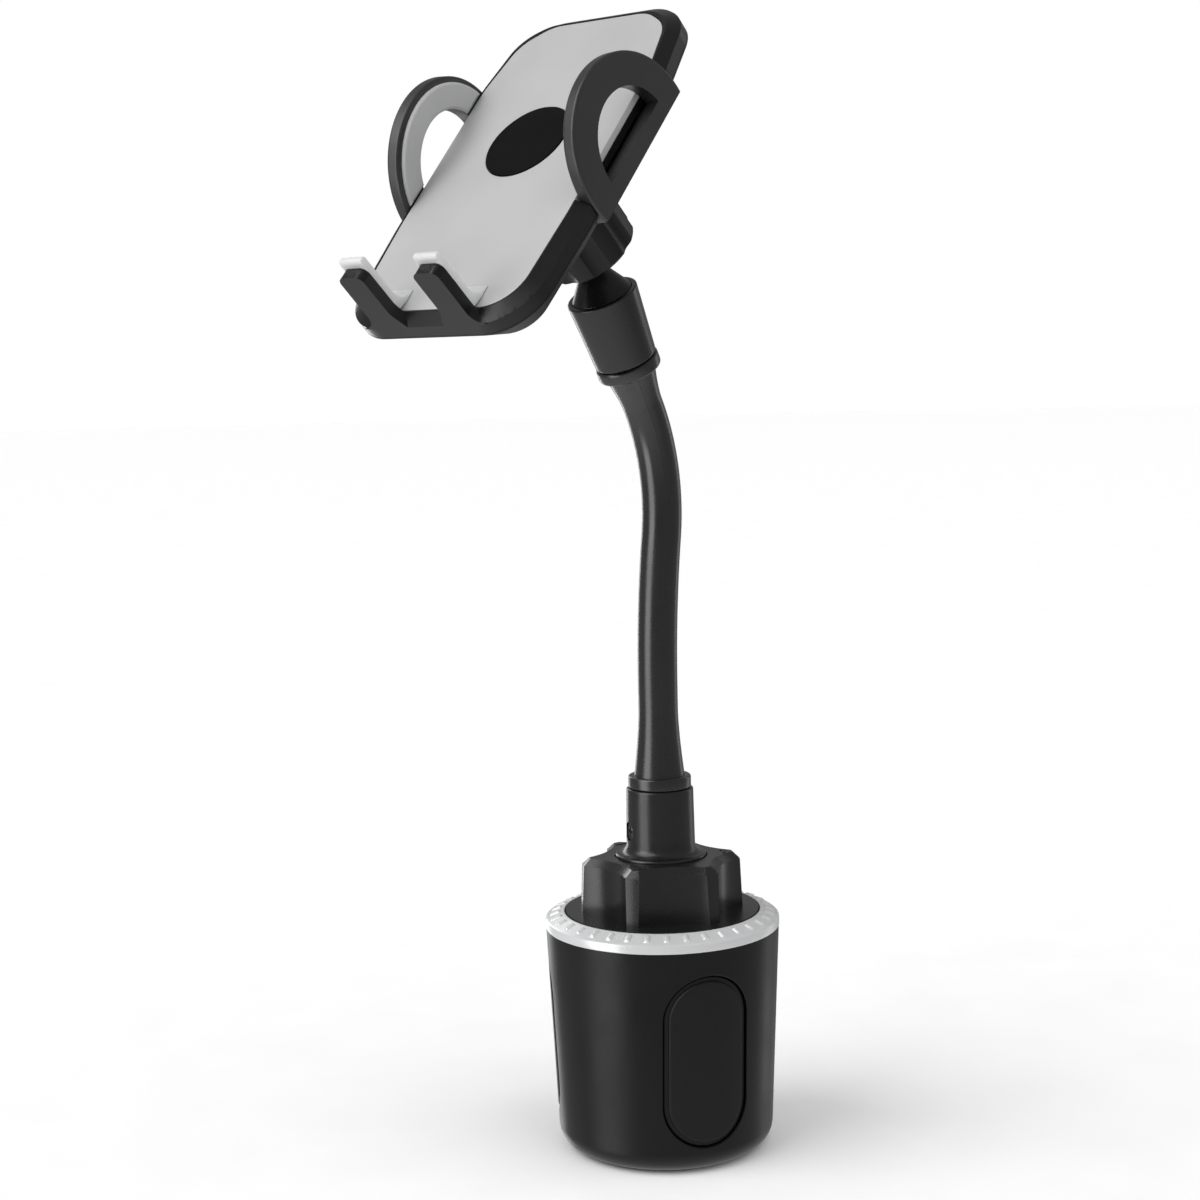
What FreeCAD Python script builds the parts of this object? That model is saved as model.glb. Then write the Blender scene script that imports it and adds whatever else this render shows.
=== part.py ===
import FreeCAD, Part
import math
import os

import Sketcher

# Cup holder phone mount: an expanding cup base with a hex knob, a bent gooseneck, a ball joint
# and a phone holder with two sliding arms and two hook fingers.
# Frame: millimetres, +Z up, origin at the centre of the cup's foot, the holder faces -Y.

doc = FreeCAD.newDocument("PhoneMount")
sheet = doc.addObject("Spreadsheet::Sheet", "Sizes")
parts = []


class Size:
    """A length that carries its number and the spreadsheet formula it comes from."""

    def __init__(self, number, formula):
        self.number = float(number)
        self.formula = formula

    @staticmethod
    def of(value):
        return value if isinstance(value, Size) else Size(value, repr(float(value)))

    def __add__(self, other):
        other = Size.of(other)
        return Size(self.number + other.number, f"({self.formula} + {other.formula})")

    def __sub__(self, other):
        other = Size.of(other)
        return Size(self.number - other.number, f"({self.formula} - {other.formula})")

    def __mul__(self, other):
        other = Size.of(other)
        return Size(self.number * other.number, f"({self.formula} * {other.formula})")

    def __truediv__(self, other):
        other = Size.of(other)
        return Size(self.number / other.number, f"({self.formula} / {other.formula})")

    def __radd__(self, other):
        return Size.of(other) + self

    def __rsub__(self, other):
        return Size.of(other) - self

    def __rmul__(self, other):
        return Size.of(other) * self

    def __neg__(self):
        return Size(-self.number, f"(-{self.formula})")


def size(name, number):
    """Put one driving dimension in the sheet and give it back as a Size."""
    row = size.rows = size.rows + 1
    sheet.set(f"A{row}", name)
    sheet.set(f"B{row}", str(number))
    sheet.setAlias(f"B{row}", name)
    return Size(number, f"Sizes.{name}")


size.rows = 0


def sine(angle):
    """Sine of an angle in degrees."""
    return Size(math.sin(math.radians(angle.number)), f"sin({angle.formula})")


def cosine(angle):
    """Cosine of an angle in degrees."""
    return Size(math.cos(math.radians(angle.number)), f"cos({angle.formula})")


def root(value):
    """Square root."""
    return Size(math.sqrt(value.number), f"sqrt({value.formula})")


# Fits
run_fit = size("run_fit", 0.06)
slip_gap = size("slip_gap", 0.3)
seat_gap = size("seat_gap", 0.12)

# Cup
foot_radius = size("foot_radius", 31.1)
cup_top_radius = size("cup_top_radius", 33.9)
cup_height = size("cup_height", 64.5)
cup_wall = size("cup_wall", 2.4)
cup_floor = size("cup_floor", 3.4)
foot_round = size("foot_round", 3.4)

# Expansion pads
pad_count = 3
pad_width = size("pad_width", 24.8)
pad_low = size("pad_low", 7.8)
pad_margin = size("pad_margin", 7.3)
pad_back = size("pad_back", 20.0)
pad_travel = size("pad_travel", 8.0)
grip_thickness = size("grip_thickness", 2.4)

# Trim ring
ring_overhang = size("ring_overhang", 0.1)
ring_edge = size("ring_edge", 2.5)
ring_rise = size("ring_rise", 4.7)
ring_bevel = size("ring_bevel", 5.6)
ring_ledge = size("ring_ledge", 3.0)
ring_skirt = size("ring_skirt", 3.0)
ring_tooth_count = 36
ring_tooth_width = size("ring_tooth_width", 1.5)
ring_tooth_inset = size("ring_tooth_inset", 1.5)
ring_tooth_proud = size("ring_tooth_proud", 0.45)

# Hex knob
knob_radius = size("knob_radius", 23.7)
knob_top_radius = size("knob_top_radius", 22.9)
knob_height = size("knob_height", 15.7)
knob_flange = size("knob_flange", 3.0)
knob_scoop_radius = size("knob_scoop_radius", 19.0)
knob_waist = size("knob_waist", 18.3)
knob_bevel = size("knob_bevel", 2.0)
knob_recess_depth = size("knob_recess_depth", 2.0)
knob_hub_radius = size("knob_hub_radius", 11.0)
knob_corner_angle = size("knob_corner_angle", 47.0)
knob_sides = 6

# Cam disc and guide frame inside the cup
cam_radius = size("cam_radius", 24.0)
cam_thickness = size("cam_thickness", 3.5)
cam_turn = size("cam_turn", 120.0)
cam_start = size("cam_start", 11.0)
cam_screw_radius = size("cam_screw_radius", 1.2)
cam_screw_circle = size("cam_screw_circle", 8.4)
cam_screw_angle = size("cam_screw_angle", 115.0)
cam_screw_head = size("cam_screw_head", 1.8)
cam_screw_head_height = size("cam_screw_head_height", 0.18)
cam_screw_length = size("cam_screw_length", 8.0)
pin_radius = size("pin_radius", 2.0)
guide_radius = size("guide_radius", 19.5)
guide_drop = size("guide_drop", 11.0)
guide_floor = size("guide_floor", 2.0)
guide_column = size("guide_column", 9.0)
bar_width = size("bar_width", 10.0)
bar_height = size("bar_height", 8.0)
bar_inner = size("bar_inner", 7.2)

# Neck post
shaft_radius = size("shaft_radius", 6.0)
neck_flange_radius = size("neck_flange_radius", 13.2)
neck_flange_height = size("neck_flange_height", 2.6)
neck_radius = size("neck_radius", 10.0)
neck_top_radius = size("neck_top_radius", 9.7)
neck_sweep = size("neck_sweep", 2.8)
neck_rise = size("neck_rise", 20.0)
neck_socket_depth = size("neck_socket_depth", 16.9)
bolt_radius = size("bolt_radius", 2.0)
bolt_head_radius = size("bolt_head_radius", 4.0)
bolt_head_height = size("bolt_head_height", 1.8)
bolt_drop = size("bolt_drop", 2.5)
neck_screw_drop = size("neck_screw_drop", 12.4)
neck_screw_angle = size("neck_screw_angle", 238.0)
neck_screw_head = size("neck_screw_head", 2.6)
neck_screw_radius = size("neck_screw_radius", 1.4)
neck_screw_sink = size("neck_screw_sink", 2.2)
cross_reach = size("cross_reach", 1.8)
cross_width = size("cross_width", 0.4)

# Gooseneck: a straight rise, a long bend back, a tighter bend forward and a short straight end
core_radius = size("core_radius", 4.0)
sleeve_radius = size("sleeve_radius", 5.7)
sleeve_rise = size("sleeve_rise", 30.5)
back_bend_radius = size("back_bend_radius", 300.0)
back_bend_angle = size("back_bend_angle", 8.0)
front_bend_radius = size("front_bend_radius", 60.0)
neck_lean = size("neck_lean", 29.3)
sleeve_end = size("sleeve_end", 15.0)
cuff_radius = size("cuff_radius", 9.1)
cuff_height = size("cuff_height", 3.6)
flare_radius = size("flare_radius", 7.3)
flare_length = size("flare_length", 19.0)
top_flare_length = size("top_flare_length", 10.5)

# Collar and ball stud
collar_length = size("collar_length", 20.7)
collar_low_radius = size("collar_low_radius", 8.8)
collar_top_radius = size("collar_top_radius", 10.1)
collar_socket = size("collar_socket", 9.0)
cone_radius = size("cone_radius", 8.6)
cone_seat = size("cone_seat", 1.0)
cone_height = size("cone_height", 7.5)
stud_radius = size("stud_radius", 3.6)
stud_shank = size("stud_shank", 3.0)
stud_depth = size("stud_depth", 8.0)
ball_reach = size("ball_reach", 19.0)
ball_radius = size("ball_radius", 8.5)

# Ball socket and lock nut, along the holder's own depth
head_lean = size("head_lean", 48.01)
ball_depth = size("ball_depth", 30.0)
ball_drop = size("ball_drop", 3.3)
boss_radius = size("boss_radius", 10.4)
boss_end = size("boss_end", 1.8)
nut_radius = size("nut_radius", 13.2)
nut_waist = size("nut_waist", 11.9)
nut_lobes = 8
nut_scoop_radius = size("nut_scoop_radius", 4.5)
nut_front = size("nut_front", 16.5)
nut_rear = size("nut_rear", 37.5)
nut_lip_reach = size("nut_lip_reach", 5.0)
nut_lip_radius = size("nut_lip_radius", 7.4)
nut_mouth_radius = size("nut_mouth_radius", 10.0)
nut_round = size("nut_round", 1.2)

# Holder plate and bezel
plate_half_width = size("plate_half_width", 28.9)
plate_top = size("plate_top", 46.4)
plate_bottom = size("plate_bottom", 59.0)
plate_thickness = size("plate_thickness", 2.0)
plate_shoulder = size("plate_shoulder", 22.0)
plate_hip = size("plate_hip", 28.0)
plate_brow_width = size("plate_brow_width", 16.5)
plate_brow_drop = size("plate_brow_drop", 6.0)
plate_corner_inset = size("plate_corner_inset", 3.6)
plate_heel_inset = size("plate_heel_inset", 1.6)
plate_top_round = size("plate_top_round", 11.0)
plate_side_round = size("plate_side_round", 45.0)
plate_heel_round = size("plate_heel_round", 11.0)
badge_radius = size("badge_radius", 12.6)
badge_thickness = size("badge_thickness", 1.2)
badge_recess = size("badge_recess", 0.9)
rim_width = size("rim_width", 3.8)
rim_drop = size("rim_drop", 2.2)
rim_lip = size("rim_lip", 0.5)
bezel_depth = size("bezel_depth", 5.4)
bezel_wall = size("bezel_wall", 2.4)
bezel_front_wall = size("bezel_front_wall", 2.0)

# Hook fingers and their soft pads
finger_centre = size("finger_centre", 12.8)
finger_width = size("finger_width", 8.2)
finger_rise = size("finger_rise", 16.2)
finger_thickness = size("finger_thickness", 3.2)
finger_root = size("finger_root", 7.0)
finger_inner_root = size("finger_inner_root", 2.6)
finger_round = size("finger_round", 2.2)
finger_root_round = size("finger_root_round", 12.0)
foot_pad_thickness = size("foot_pad_thickness", 2.2)
foot_pad_rise = size("foot_pad_rise", 18.5)
foot_pad_reach = size("foot_pad_reach", 8.5)
foot_pad_toe = size("foot_pad_toe", 1.2)

# Rear shell
shell_depth = size("shell_depth", 14.0)
shell_wall = size("shell_wall", 2.2)
shell_land = size("shell_land", 0.8)
shell_screw_radius = size("shell_screw_radius", 1.4)
shell_screw_head = size("shell_screw_head", 2.6)
shell_screw_across = size("shell_screw_across", 19.0)
shell_screw_high = size("shell_screw_high", 34.0)
shell_screw_low = size("shell_screw_low", 46.0)
screw_boss_radius = size("screw_boss_radius", 3.4)
screw_post_radius = size("screw_post_radius", 4.8)

# Arms, racks and pinion
arm_inner = size("arm_inner", 29.3)
arm_lean = size("arm_lean", 4.4)
arm_depth = size("arm_depth", 9.0)
arm_thickness = size("arm_thickness", 4.0)
arm_radius = size("arm_radius", 23.7)
arm_centre = size("arm_centre", 5.6)
arm_hole_radius = size("arm_hole_radius", 14.6)
arm_hole_centre = size("arm_hole_centre", 5.2)
arm_hole_floor = size("arm_hole_floor", 4.4)
arm_round = size("arm_round", 0.9)
arm_pad_proud = size("arm_pad_proud", 1.0)
arm_pad_inset = size("arm_pad_inset", 1.6)
arm_travel = size("arm_travel", 18.0)
rack_module = size("rack_module", 1.5)
pinion_teeth = 12
rack_width = size("rack_width", 7.5)
rack_thickness = size("rack_thickness", 3.2)
rack_level = size("rack_level", 8.6)
backlash = size("backlash", 0.3)
pinion_foot_half = size("pinion_foot_half", 1.25)
pinion_tip_half = size("pinion_tip_half", 0.48)
pinion_pin_radius = size("pinion_pin_radius", 1.5)

# Release button
button_centre = size("button_centre", 27.0)
button_width = size("button_width", 14.0)
button_height = size("button_height", 8.0)
button_proud = size("button_proud", 2.2)
button_lip = size("button_lip", 1.2)
button_inner = size("button_inner", 10.0)
spring_strip = size("spring_strip", 0.4)
spring_half = size("spring_half", 6.0)


# Modelling helpers
def bind(item, prop, value):
    item.setExpression(prop, Size.of(value).formula)


def new_body(name):
    body = doc.addObject("PartDesign::Body", name)
    body.Label = name
    parts.append(body)
    return body


def origin_item(body, role):
    return [item for item in body.Origin.OriginFeatures if item.Role == role][0]


def new_sketch(body, name, plane, offset=None):
    """A sketch on one of the body's own planes, moved along that plane's normal."""
    sketch = body.newObject("Sketcher::SketchObject", name)
    sketch.AttachmentSupport = [(origin_item(body, plane), "")]
    sketch.MapMode = "FlatFace"
    if offset is not None:
        bind(sketch, "AttachmentOffset.Base.z", offset)
    return sketch


class Drawing:
    """The lines of a sketch and the rules that hold them, which are all applied together by close()."""

    def __init__(self, sketch):
        self.sketch = sketch
        self.rules = []

    def add(self, shape, guide=False):
        return self.sketch.addGeometry(shape, guide)

    def rule(self, kind, *places, value=None):
        self.rules.append((kind, places, value))

    def fix_point(self, geometry, place, x, y):
        """Tie one point to the sheet by its two coordinates."""
        for kind, axis, value in (("DistanceX", -2, Size.of(x)), ("DistanceY", -1, Size.of(y))):
            if value.number == 0:
                self.rule("PointOnObject", geometry, place, axis)
            else:
                self.rule(kind, -1, 1, geometry, place, value=value)

    def fix_radius(self, geometry, radius):
        self.rule("Radius", geometry, value=Size.of(radius))

    def end_near(self, geometry, spot):
        """The number of the arc's end that lies at spot."""
        drawn = self.sketch.Geometry[geometry]
        return 1 if (drawn.StartPoint - spot).Length < (drawn.EndPoint - spot).Length else 2

    def close(self):
        made = []
        for kind, places, value in self.rules:
            numbers = places if value is None else (*places, value.number)
            made.append(Sketcher.Constraint(kind, *numbers))
        self.sketch.addConstraint(made)
        for index, (kind, places, value) in enumerate(self.rules):
            if value is not None:
                self.sketch.renameConstraint(index, f"{kind}_{index}")
                bind(self.sketch, f"Constraints.{kind}_{index}", value)


def unit(vector):
    return FreeCAD.Vector(vector).normalize()


def flat(x, y):
    return FreeCAD.Vector(Size.of(x).number, Size.of(y).number, 0)


def draw_outline(sketch, *outlines):
    """Closed outlines of straight sides: each corner is (x, y) or, where it is rounded, (x, y, radius)."""
    drawing = Drawing(sketch)
    for corners in outlines:
        add_outline(drawing, corners)
    drawing.close()


def add_outline(drawing, corners):
    count = len(corners)
    spots = [flat(corner[0], corner[1]) for corner in corners]
    starts = []
    ends = []
    arcs = {}
    for i, corner in enumerate(corners):
        before = unit(spots[i - 1] - spots[i])
        after = unit(spots[(i + 1) % count] - spots[i])
        if len(corner) == 2:
            ends.append(spots[i])
            starts.append(spots[i])
            continue
        radius = Size.of(corner[2]).number
        half = before.getAngle(after) / 2
        reach = radius / math.tan(half)
        middle = spots[i] + unit(before + after) * (radius / math.sin(half) - radius)
        ends.append(spots[i] + before * reach)
        starts.append(spots[i] + after * reach)
        first, last = (ends[i], starts[i]) if after.cross(before).z > 0 else (starts[i], ends[i])
        arcs[i] = drawing.add(Part.Arc(first, middle, last))
    lines = [drawing.add(Part.LineSegment(starts[i], ends[(i + 1) % count])) for i in range(count)]
    for i, corner in enumerate(corners):
        if i not in arcs:
            drawing.rule("Coincident", lines[i - 1], 2, lines[i], 1)
            drawing.fix_point(lines[i], 1, corner[0], corner[1])
            continue
        drawing.rule("Tangent", lines[i - 1], 2, arcs[i], drawing.end_near(arcs[i], ends[i]))
        drawing.rule("Tangent", lines[i], 1, arcs[i], drawing.end_near(arcs[i], starts[i]))
        drawing.fix_radius(arcs[i], corner[2])
        tip = drawing.add(Part.Point(spots[i]), True)
        drawing.fix_point(tip, 1, corner[0], corner[1])
        drawing.rule("PointOnObject", tip, 1, lines[i - 1])
        drawing.rule("PointOnObject", tip, 1, lines[i])


def draw_circles(sketch, *circles):
    """Circles, each given as (x, y, radius)."""
    drawing = Drawing(sketch)
    for x, y, radius in circles:
        circle = drawing.add(Part.Circle(flat(x, y), FreeCAD.Vector(0, 0, 1), Size.of(radius).number))
        drawing.fix_radius(circle, radius)
        drawing.fix_point(circle, 3, x, y)
    drawing.close()


def draw_slot(sketch, low, high, radius):
    """An upright slot with round ends, centred on the sketch's vertical axis."""
    drawing = Drawing(sketch)
    bottom = flat(0, low + radius)
    top = flat(0, high - radius)
    across = flat(radius, 0)
    drop = flat(0, radius)
    upper = drawing.add(Part.Arc(top + across, top + drop, top - across))
    lower = drawing.add(Part.Arc(bottom - across, bottom - drop, bottom + across))
    left = drawing.add(Part.LineSegment(top - across, bottom - across))
    right = drawing.add(Part.LineSegment(bottom + across, top + across))
    for join in ((right, 2, upper, 1), (upper, 2, left, 1), (left, 2, lower, 1), (lower, 2, right, 1)):
        drawing.rule("Tangent", *join)
    drawing.fix_point(upper, 3, 0, high - radius)
    drawing.fix_point(lower, 3, 0, low + radius)
    drawing.fix_radius(upper, radius)
    drawing.close()


def draw_segment(sketch, centre_y, radius, floor):
    """A circle's upper part, closed by a level line at floor."""
    drawing = Drawing(sketch)
    half = root(radius * radius - (floor - centre_y) * (floor - centre_y))
    arc = drawing.add(Part.Arc(flat(half, floor), flat(0, centre_y + radius), flat(-half, floor)))
    line = drawing.add(Part.LineSegment(flat(-half, floor), flat(half, floor)))
    drawing.rule("Coincident", arc, 2, line, 1)
    drawing.rule("Coincident", line, 2, arc, 1)
    drawing.rule("Horizontal", line)
    drawing.fix_point(arc, 3, 0, centre_y)
    drawing.fix_radius(arc, radius)
    drawing.rule("DistanceY", -1, 1, line, 1, value=floor)
    drawing.close()


def add_feature(body, kind, name, sketch, length=None, backwards=False):
    """A pad, pocket, revolution or groove; the last two turn about the sketch's upright axis."""
    feature = body.newObject(f"PartDesign::{kind}", name)
    feature.Profile = sketch
    if kind in ("Revolution", "Groove"):
        feature.ReferenceAxis = (sketch, ["V_Axis"])
        feature.Angle = 360
    else:
        feature.Reversed = backwards
        bind(feature, "Length", length)
    doc.recompute()
    return feature


def repeat_round(body, name, features, count, axis="Z_Axis"):
    pattern = body.newObject("PartDesign::PolarPattern", name)
    pattern.Originals = features
    pattern.Axis = (origin_item(body, axis), [""])
    pattern.Angle = 360
    pattern.Occurrences = count
    body.Tip = pattern
    doc.recompute()
    return pattern


def mirror(body, name, features, plane):
    pattern = body.newObject("PartDesign::Mirrored", name)
    pattern.Originals = features
    pattern.MirrorPlane = (origin_item(body, plane), [""])
    body.Tip = pattern
    doc.recompute()
    return pattern


def dress(body, kind, name, base, wanted, radius):
    """A fillet or chamfer on the edges of base for which wanted(edge) is true."""
    doc.recompute()
    names = [f"Edge{i + 1}" for i, edge in enumerate(base.Shape.Edges) if wanted(edge)]
    if not names:
        raise ValueError(f"{name}: no edge to dress")
    feature = body.newObject(f"PartDesign::{kind}", name)
    feature.Base = (base, names)
    bind(feature, "Size" if kind == "Chamfer" else "Radius", radius)
    doc.recompute()
    return feature


def at_level(height):
    """True for an edge that lies wholly at one height of its body."""
    level = Size.of(height).number

    def wanted(edge):
        box = edge.BoundBox
        return abs(box.ZMin - level) < 0.001 and abs(box.ZMax - level) < 0.001

    return wanted


def outside(radius):
    """True for an edge whose ends lie further out than a radius about its body's upright axis."""
    limit = Size.of(radius).number
    return lambda edge: min(math.hypot(end.X, end.Y) for end in edge.Vertexes) > limit


def cylinder(name, radius, low, high, x=0, y=0):
    """An upright cylinder between two heights."""
    rod = doc.addObject("Part::Cylinder", name)
    bind(rod, "Radius", radius)
    bind(rod, "Height", high - low)
    for axis, value in (("x", x), ("y", y), ("z", low)):
        bind(rod, f".Placement.Base.{axis}", value)
    return rod


def join(name, shapes):
    fused = doc.addObject("Part::MultiFuse", name)
    fused.Label = name
    fused.Shapes = shapes
    fused.Refine = True
    doc.recompute()
    return fused


def put(item, x, y, z, tilt=0, turn=0):
    """Place a piece: moved to (x, y, z), then either tilted about X or turned about Z, in degrees."""
    tilt = Size.of(tilt)
    turn = Size.of(turn)
    axis = FreeCAD.Vector(0, 0, 1) if tilt.number == 0 else FreeCAD.Vector(1, 0, 0)
    angle = turn if tilt.number == 0 else tilt
    spot = FreeCAD.Vector(Size.of(x).number, Size.of(y).number, Size.of(z).number)
    item.Placement = FreeCAD.Placement(spot, FreeCAD.Rotation(axis, angle.number))
    for name, value in (("x", x), ("y", y), ("z", z)):
        bind(item, f".Placement.Base.{name}", value)
    if angle.number:
        bind(item, ".Placement.Rotation.Angle", angle)


# Heights and radii along the base
pad_high = cup_height - pad_margin
ring_radius = cup_top_radius + ring_overhang
ring_bore = ring_radius - ring_bevel
ring_ledge_bore = ring_bore - ring_ledge
ring_top = cup_height + ring_rise
knob_base = ring_top
flange_low = knob_base - knob_flange
knob_top = knob_base + knob_height
neck_top = knob_top + neck_rise
neck_socket_floor = neck_top - neck_socket_depth
neck_screw_height = neck_top - neck_screw_drop
bolt_reach = cup_height - bolt_drop
guide_top = cup_height - guide_drop
ledge_top = flange_low - slip_gap
cam_low = guide_top + slip_gap
cam_top = cam_low + cam_thickness
bar_top = guide_top - slip_gap
bar_low = bar_top - bar_height
guide_low = bar_low - slip_gap - guide_floor
recess_floor = knob_top - knob_recess_depth
wall_slope = (cup_top_radius - foot_radius) / cup_height
socket_radius = core_radius + seat_gap
knob_angle = knob_corner_angle + 180 / knob_sides
cam_screw_hole = cam_screw_radius + seat_gap / 2
window_angles = [90 + k * 360 / pad_count for k in range(pad_count)]
window_names = ["rear", "left", "right"]

# The gooseneck's centre line, in the plane X = 0
sleeve_start = neck_top
bend_one_z = sleeve_start + sleeve_rise
bend_two_y = back_bend_radius * (1 - cosine(back_bend_angle))
bend_two_z = bend_one_z + back_bend_radius * sine(back_bend_angle)
bend_end_y = bend_two_y - front_bend_radius * (cosine(back_bend_angle) - cosine(neck_lean))
bend_end_z = bend_two_z + front_bend_radius * (sine(back_bend_angle) + sine(neck_lean))
collar_y = bend_end_y - sleeve_end * sine(neck_lean)
collar_z = bend_end_z + sleeve_end * cosine(neck_lean)

# Ball centre, and the holder's own origin on the plate's front face
stud_reach = collar_length + ball_reach
ball_y = collar_y - stud_reach * sine(neck_lean)
ball_z = collar_z + stud_reach * cosine(neck_lean)
head_y = ball_y + ball_drop * cosine(head_lean) - ball_depth * sine(head_lean)
head_z = ball_z + ball_drop * sine(head_lean) + ball_depth * cosine(head_lean)

# Gear that couples the arms
pinion_radius = rack_module * pinion_teeth / 2
tooth_rise = rack_module * 0.8
tooth_depth = rack_module * 1.1
tooth_pitch = rack_module * math.pi
rack_edge = pinion_radius + tooth_depth

# Round of the rear shell's back edge, and the screws that close the holder
shell_round = shell_depth - bezel_depth - shell_land
shell_screw_spots = [
    (shell_screw_across, shell_screw_high), (-shell_screw_across, shell_screw_high),
    (shell_screw_across, -shell_screw_low), (-shell_screw_across, -shell_screw_low),
]


def wall_radius(height):
    """Outer radius of the cup's wall at a height."""
    return foot_radius + wall_slope * height


# Base
def make_cup_shell():
    body = new_body("cup_shell")
    sketch = new_sketch(body, "cup_profile", "XZ_Plane")
    draw_outline(sketch, [
        (bolt_radius + seat_gap, 0),
        (foot_radius, 0, foot_round),
        (cup_top_radius, cup_height),
        (cup_top_radius - cup_wall, cup_height),
        (wall_radius(cup_floor) - cup_wall, cup_floor, foot_round / 2),
        (bolt_radius + seat_gap, cup_floor),
    ])
    add_feature(body, "Revolution", "cup_turned", sketch)
    sketch = new_sketch(body, "window_outline", "XZ_Plane")
    draw_slot(sketch, pad_low - slip_gap, pad_high + slip_gap, pad_width / 2 + slip_gap)
    window = add_feature(body, "Pocket", "window", sketch, cup_top_radius * 2, False)
    repeat_round(body, "windows", [window], pad_count)
    sketch = new_sketch(body, "bolt_head_outline", "XY_Plane")
    draw_circles(sketch, (0, 0, bolt_head_radius + slip_gap))
    add_feature(body, "Pocket", "bolt_head_recess", sketch, bolt_head_height + slip_gap / 2, True)


def make_trim_ring():
    body = new_body("trim_ring")
    bevel_low = cup_height + ring_edge
    skirt_radius = cup_top_radius - cup_wall - wall_slope * ring_skirt - seat_gap
    sketch = new_sketch(body, "ring_profile", "XZ_Plane")
    draw_outline(sketch, [
        (ring_radius, cup_height),
        (ring_radius, bevel_low),
        (ring_bore, ring_top),
        (ring_bore, ledge_top),
        (ring_ledge_bore, ledge_top),
        (ring_ledge_bore, cup_height - ring_skirt),
        (skirt_radius, cup_height - ring_skirt),
        (skirt_radius, cup_height),
    ])
    add_feature(body, "Revolution", "ring_turned", sketch)
    slope = (ring_top - bevel_low) / (ring_radius - ring_bore)
    outer = ring_radius - ring_tooth_inset
    inner = ring_bore + ring_tooth_inset * 0.6
    sink = ring_edge / 4
    sketch = new_sketch(body, "tooth_profile", "XZ_Plane", -(ring_tooth_width / 2))
    draw_outline(sketch, [
        (inner, bevel_low + slope * (ring_radius - inner) + ring_tooth_proud),
        (inner, bevel_low + slope * (ring_radius - inner) - sink),
        (outer, bevel_low + slope * (ring_radius - outer) - sink),
        (outer, bevel_low + slope * (ring_radius - outer) + ring_tooth_proud),
    ])
    tooth = add_feature(body, "Pad", "tooth", sketch, ring_tooth_width)
    repeat_round(body, "teeth", [tooth], ring_tooth_count)


def make_guide_frame():
    body = new_body("guide_frame")
    sketch = new_sketch(body, "guide_profile", "XZ_Plane")
    draw_outline(sketch, [
        (bolt_radius + seat_gap, cup_floor),
        (guide_column, cup_floor),
        (guide_column, guide_low),
        (guide_radius, guide_low),
        (guide_radius, guide_top),
        (shaft_radius + seat_gap, guide_top),
        (shaft_radius + seat_gap, guide_low),
        (bolt_radius + seat_gap, guide_low),
    ])
    add_feature(body, "Revolution", "guide_turned", sketch)
    sketch = new_sketch(body, "channel_section", "XZ_Plane", -guide_radius * 2)
    half = bar_width / 2 + slip_gap
    draw_outline(sketch, [
        (-half, bar_low - slip_gap), (half, bar_low - slip_gap),
        (half, guide_top + slip_gap), (-half, guide_top + slip_gap),
    ])
    channel = add_feature(body, "Pocket", "channel", sketch, guide_radius * 2, True)
    repeat_round(body, "channels", [channel], pad_count)


def make_neck_post():
    body = new_body("neck_post")
    flange_low_z = recess_floor + slip_gap
    flange_top_z = flange_low_z + neck_flange_height
    sketch = new_sketch(body, "post_profile", "XZ_Plane")
    draw_outline(sketch, [
        (bolt_radius + seat_gap, guide_low + slip_gap),
        (shaft_radius, guide_low + slip_gap),
        (shaft_radius, flange_low_z),
        (neck_flange_radius, flange_low_z),
        (neck_flange_radius, flange_top_z, neck_flange_height / 4),
        (neck_radius, flange_top_z, neck_sweep),
        (neck_top_radius, neck_top, neck_flange_height / 4),
        (socket_radius, neck_top),
        (socket_radius, neck_socket_floor),
        (0, neck_socket_floor),
        (0, bolt_reach + seat_gap),
        (bolt_radius + seat_gap, bolt_reach + seat_gap),
    ])
    add_feature(body, "Revolution", "post_turned", sketch)
    sketch = new_sketch(body, "screw_hole_outline", "XZ_Plane")
    draw_circles(sketch, (0, neck_screw_height, neck_screw_radius + seat_gap))
    add_feature(body, "Pocket", "screw_hole", sketch, neck_flange_radius, True)
    sketch = new_sketch(body, "screw_recess_outline", "XZ_Plane", neck_radius - neck_screw_sink)
    draw_circles(sketch, (0, neck_screw_height, neck_screw_head + seat_gap))
    add_feature(body, "Pocket", "screw_recess", sketch, neck_flange_radius, True)
    put(body, 0, 0, 0, turn=neck_screw_angle - 270)


def make_neck_screw():
    body = new_body("neck_screw")
    seat = neck_radius - neck_screw_sink
    sketch = new_sketch(body, "shank_outline", "XZ_Plane", socket_radius + seat_gap)
    draw_circles(sketch, (0, neck_screw_height, neck_screw_radius))
    add_feature(body, "Pad", "shank", sketch, seat - socket_radius)
    sketch = new_sketch(body, "head_outline", "XZ_Plane", seat)
    draw_circles(sketch, (0, neck_screw_height, neck_screw_head))
    add_feature(body, "Pad", "head", sketch, neck_screw_radius)
    slots = ((cross_reach, cross_width), (cross_width, cross_reach))
    for number, (half_x, half_z) in enumerate(slots):
        sketch = new_sketch(body, f"cross_outline_{number}", "XZ_Plane", seat + neck_screw_radius)
        draw_outline(sketch, [
            (-half_x, neck_screw_height - half_z), (half_x, neck_screw_height - half_z),
            (half_x, neck_screw_height + half_z), (-half_x, neck_screw_height + half_z),
        ])
        add_feature(body, "Pocket", f"cross_slot_{number}", sketch, neck_screw_radius / 2)
    put(body, 0, 0, 0, turn=neck_screw_angle - 270)


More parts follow.
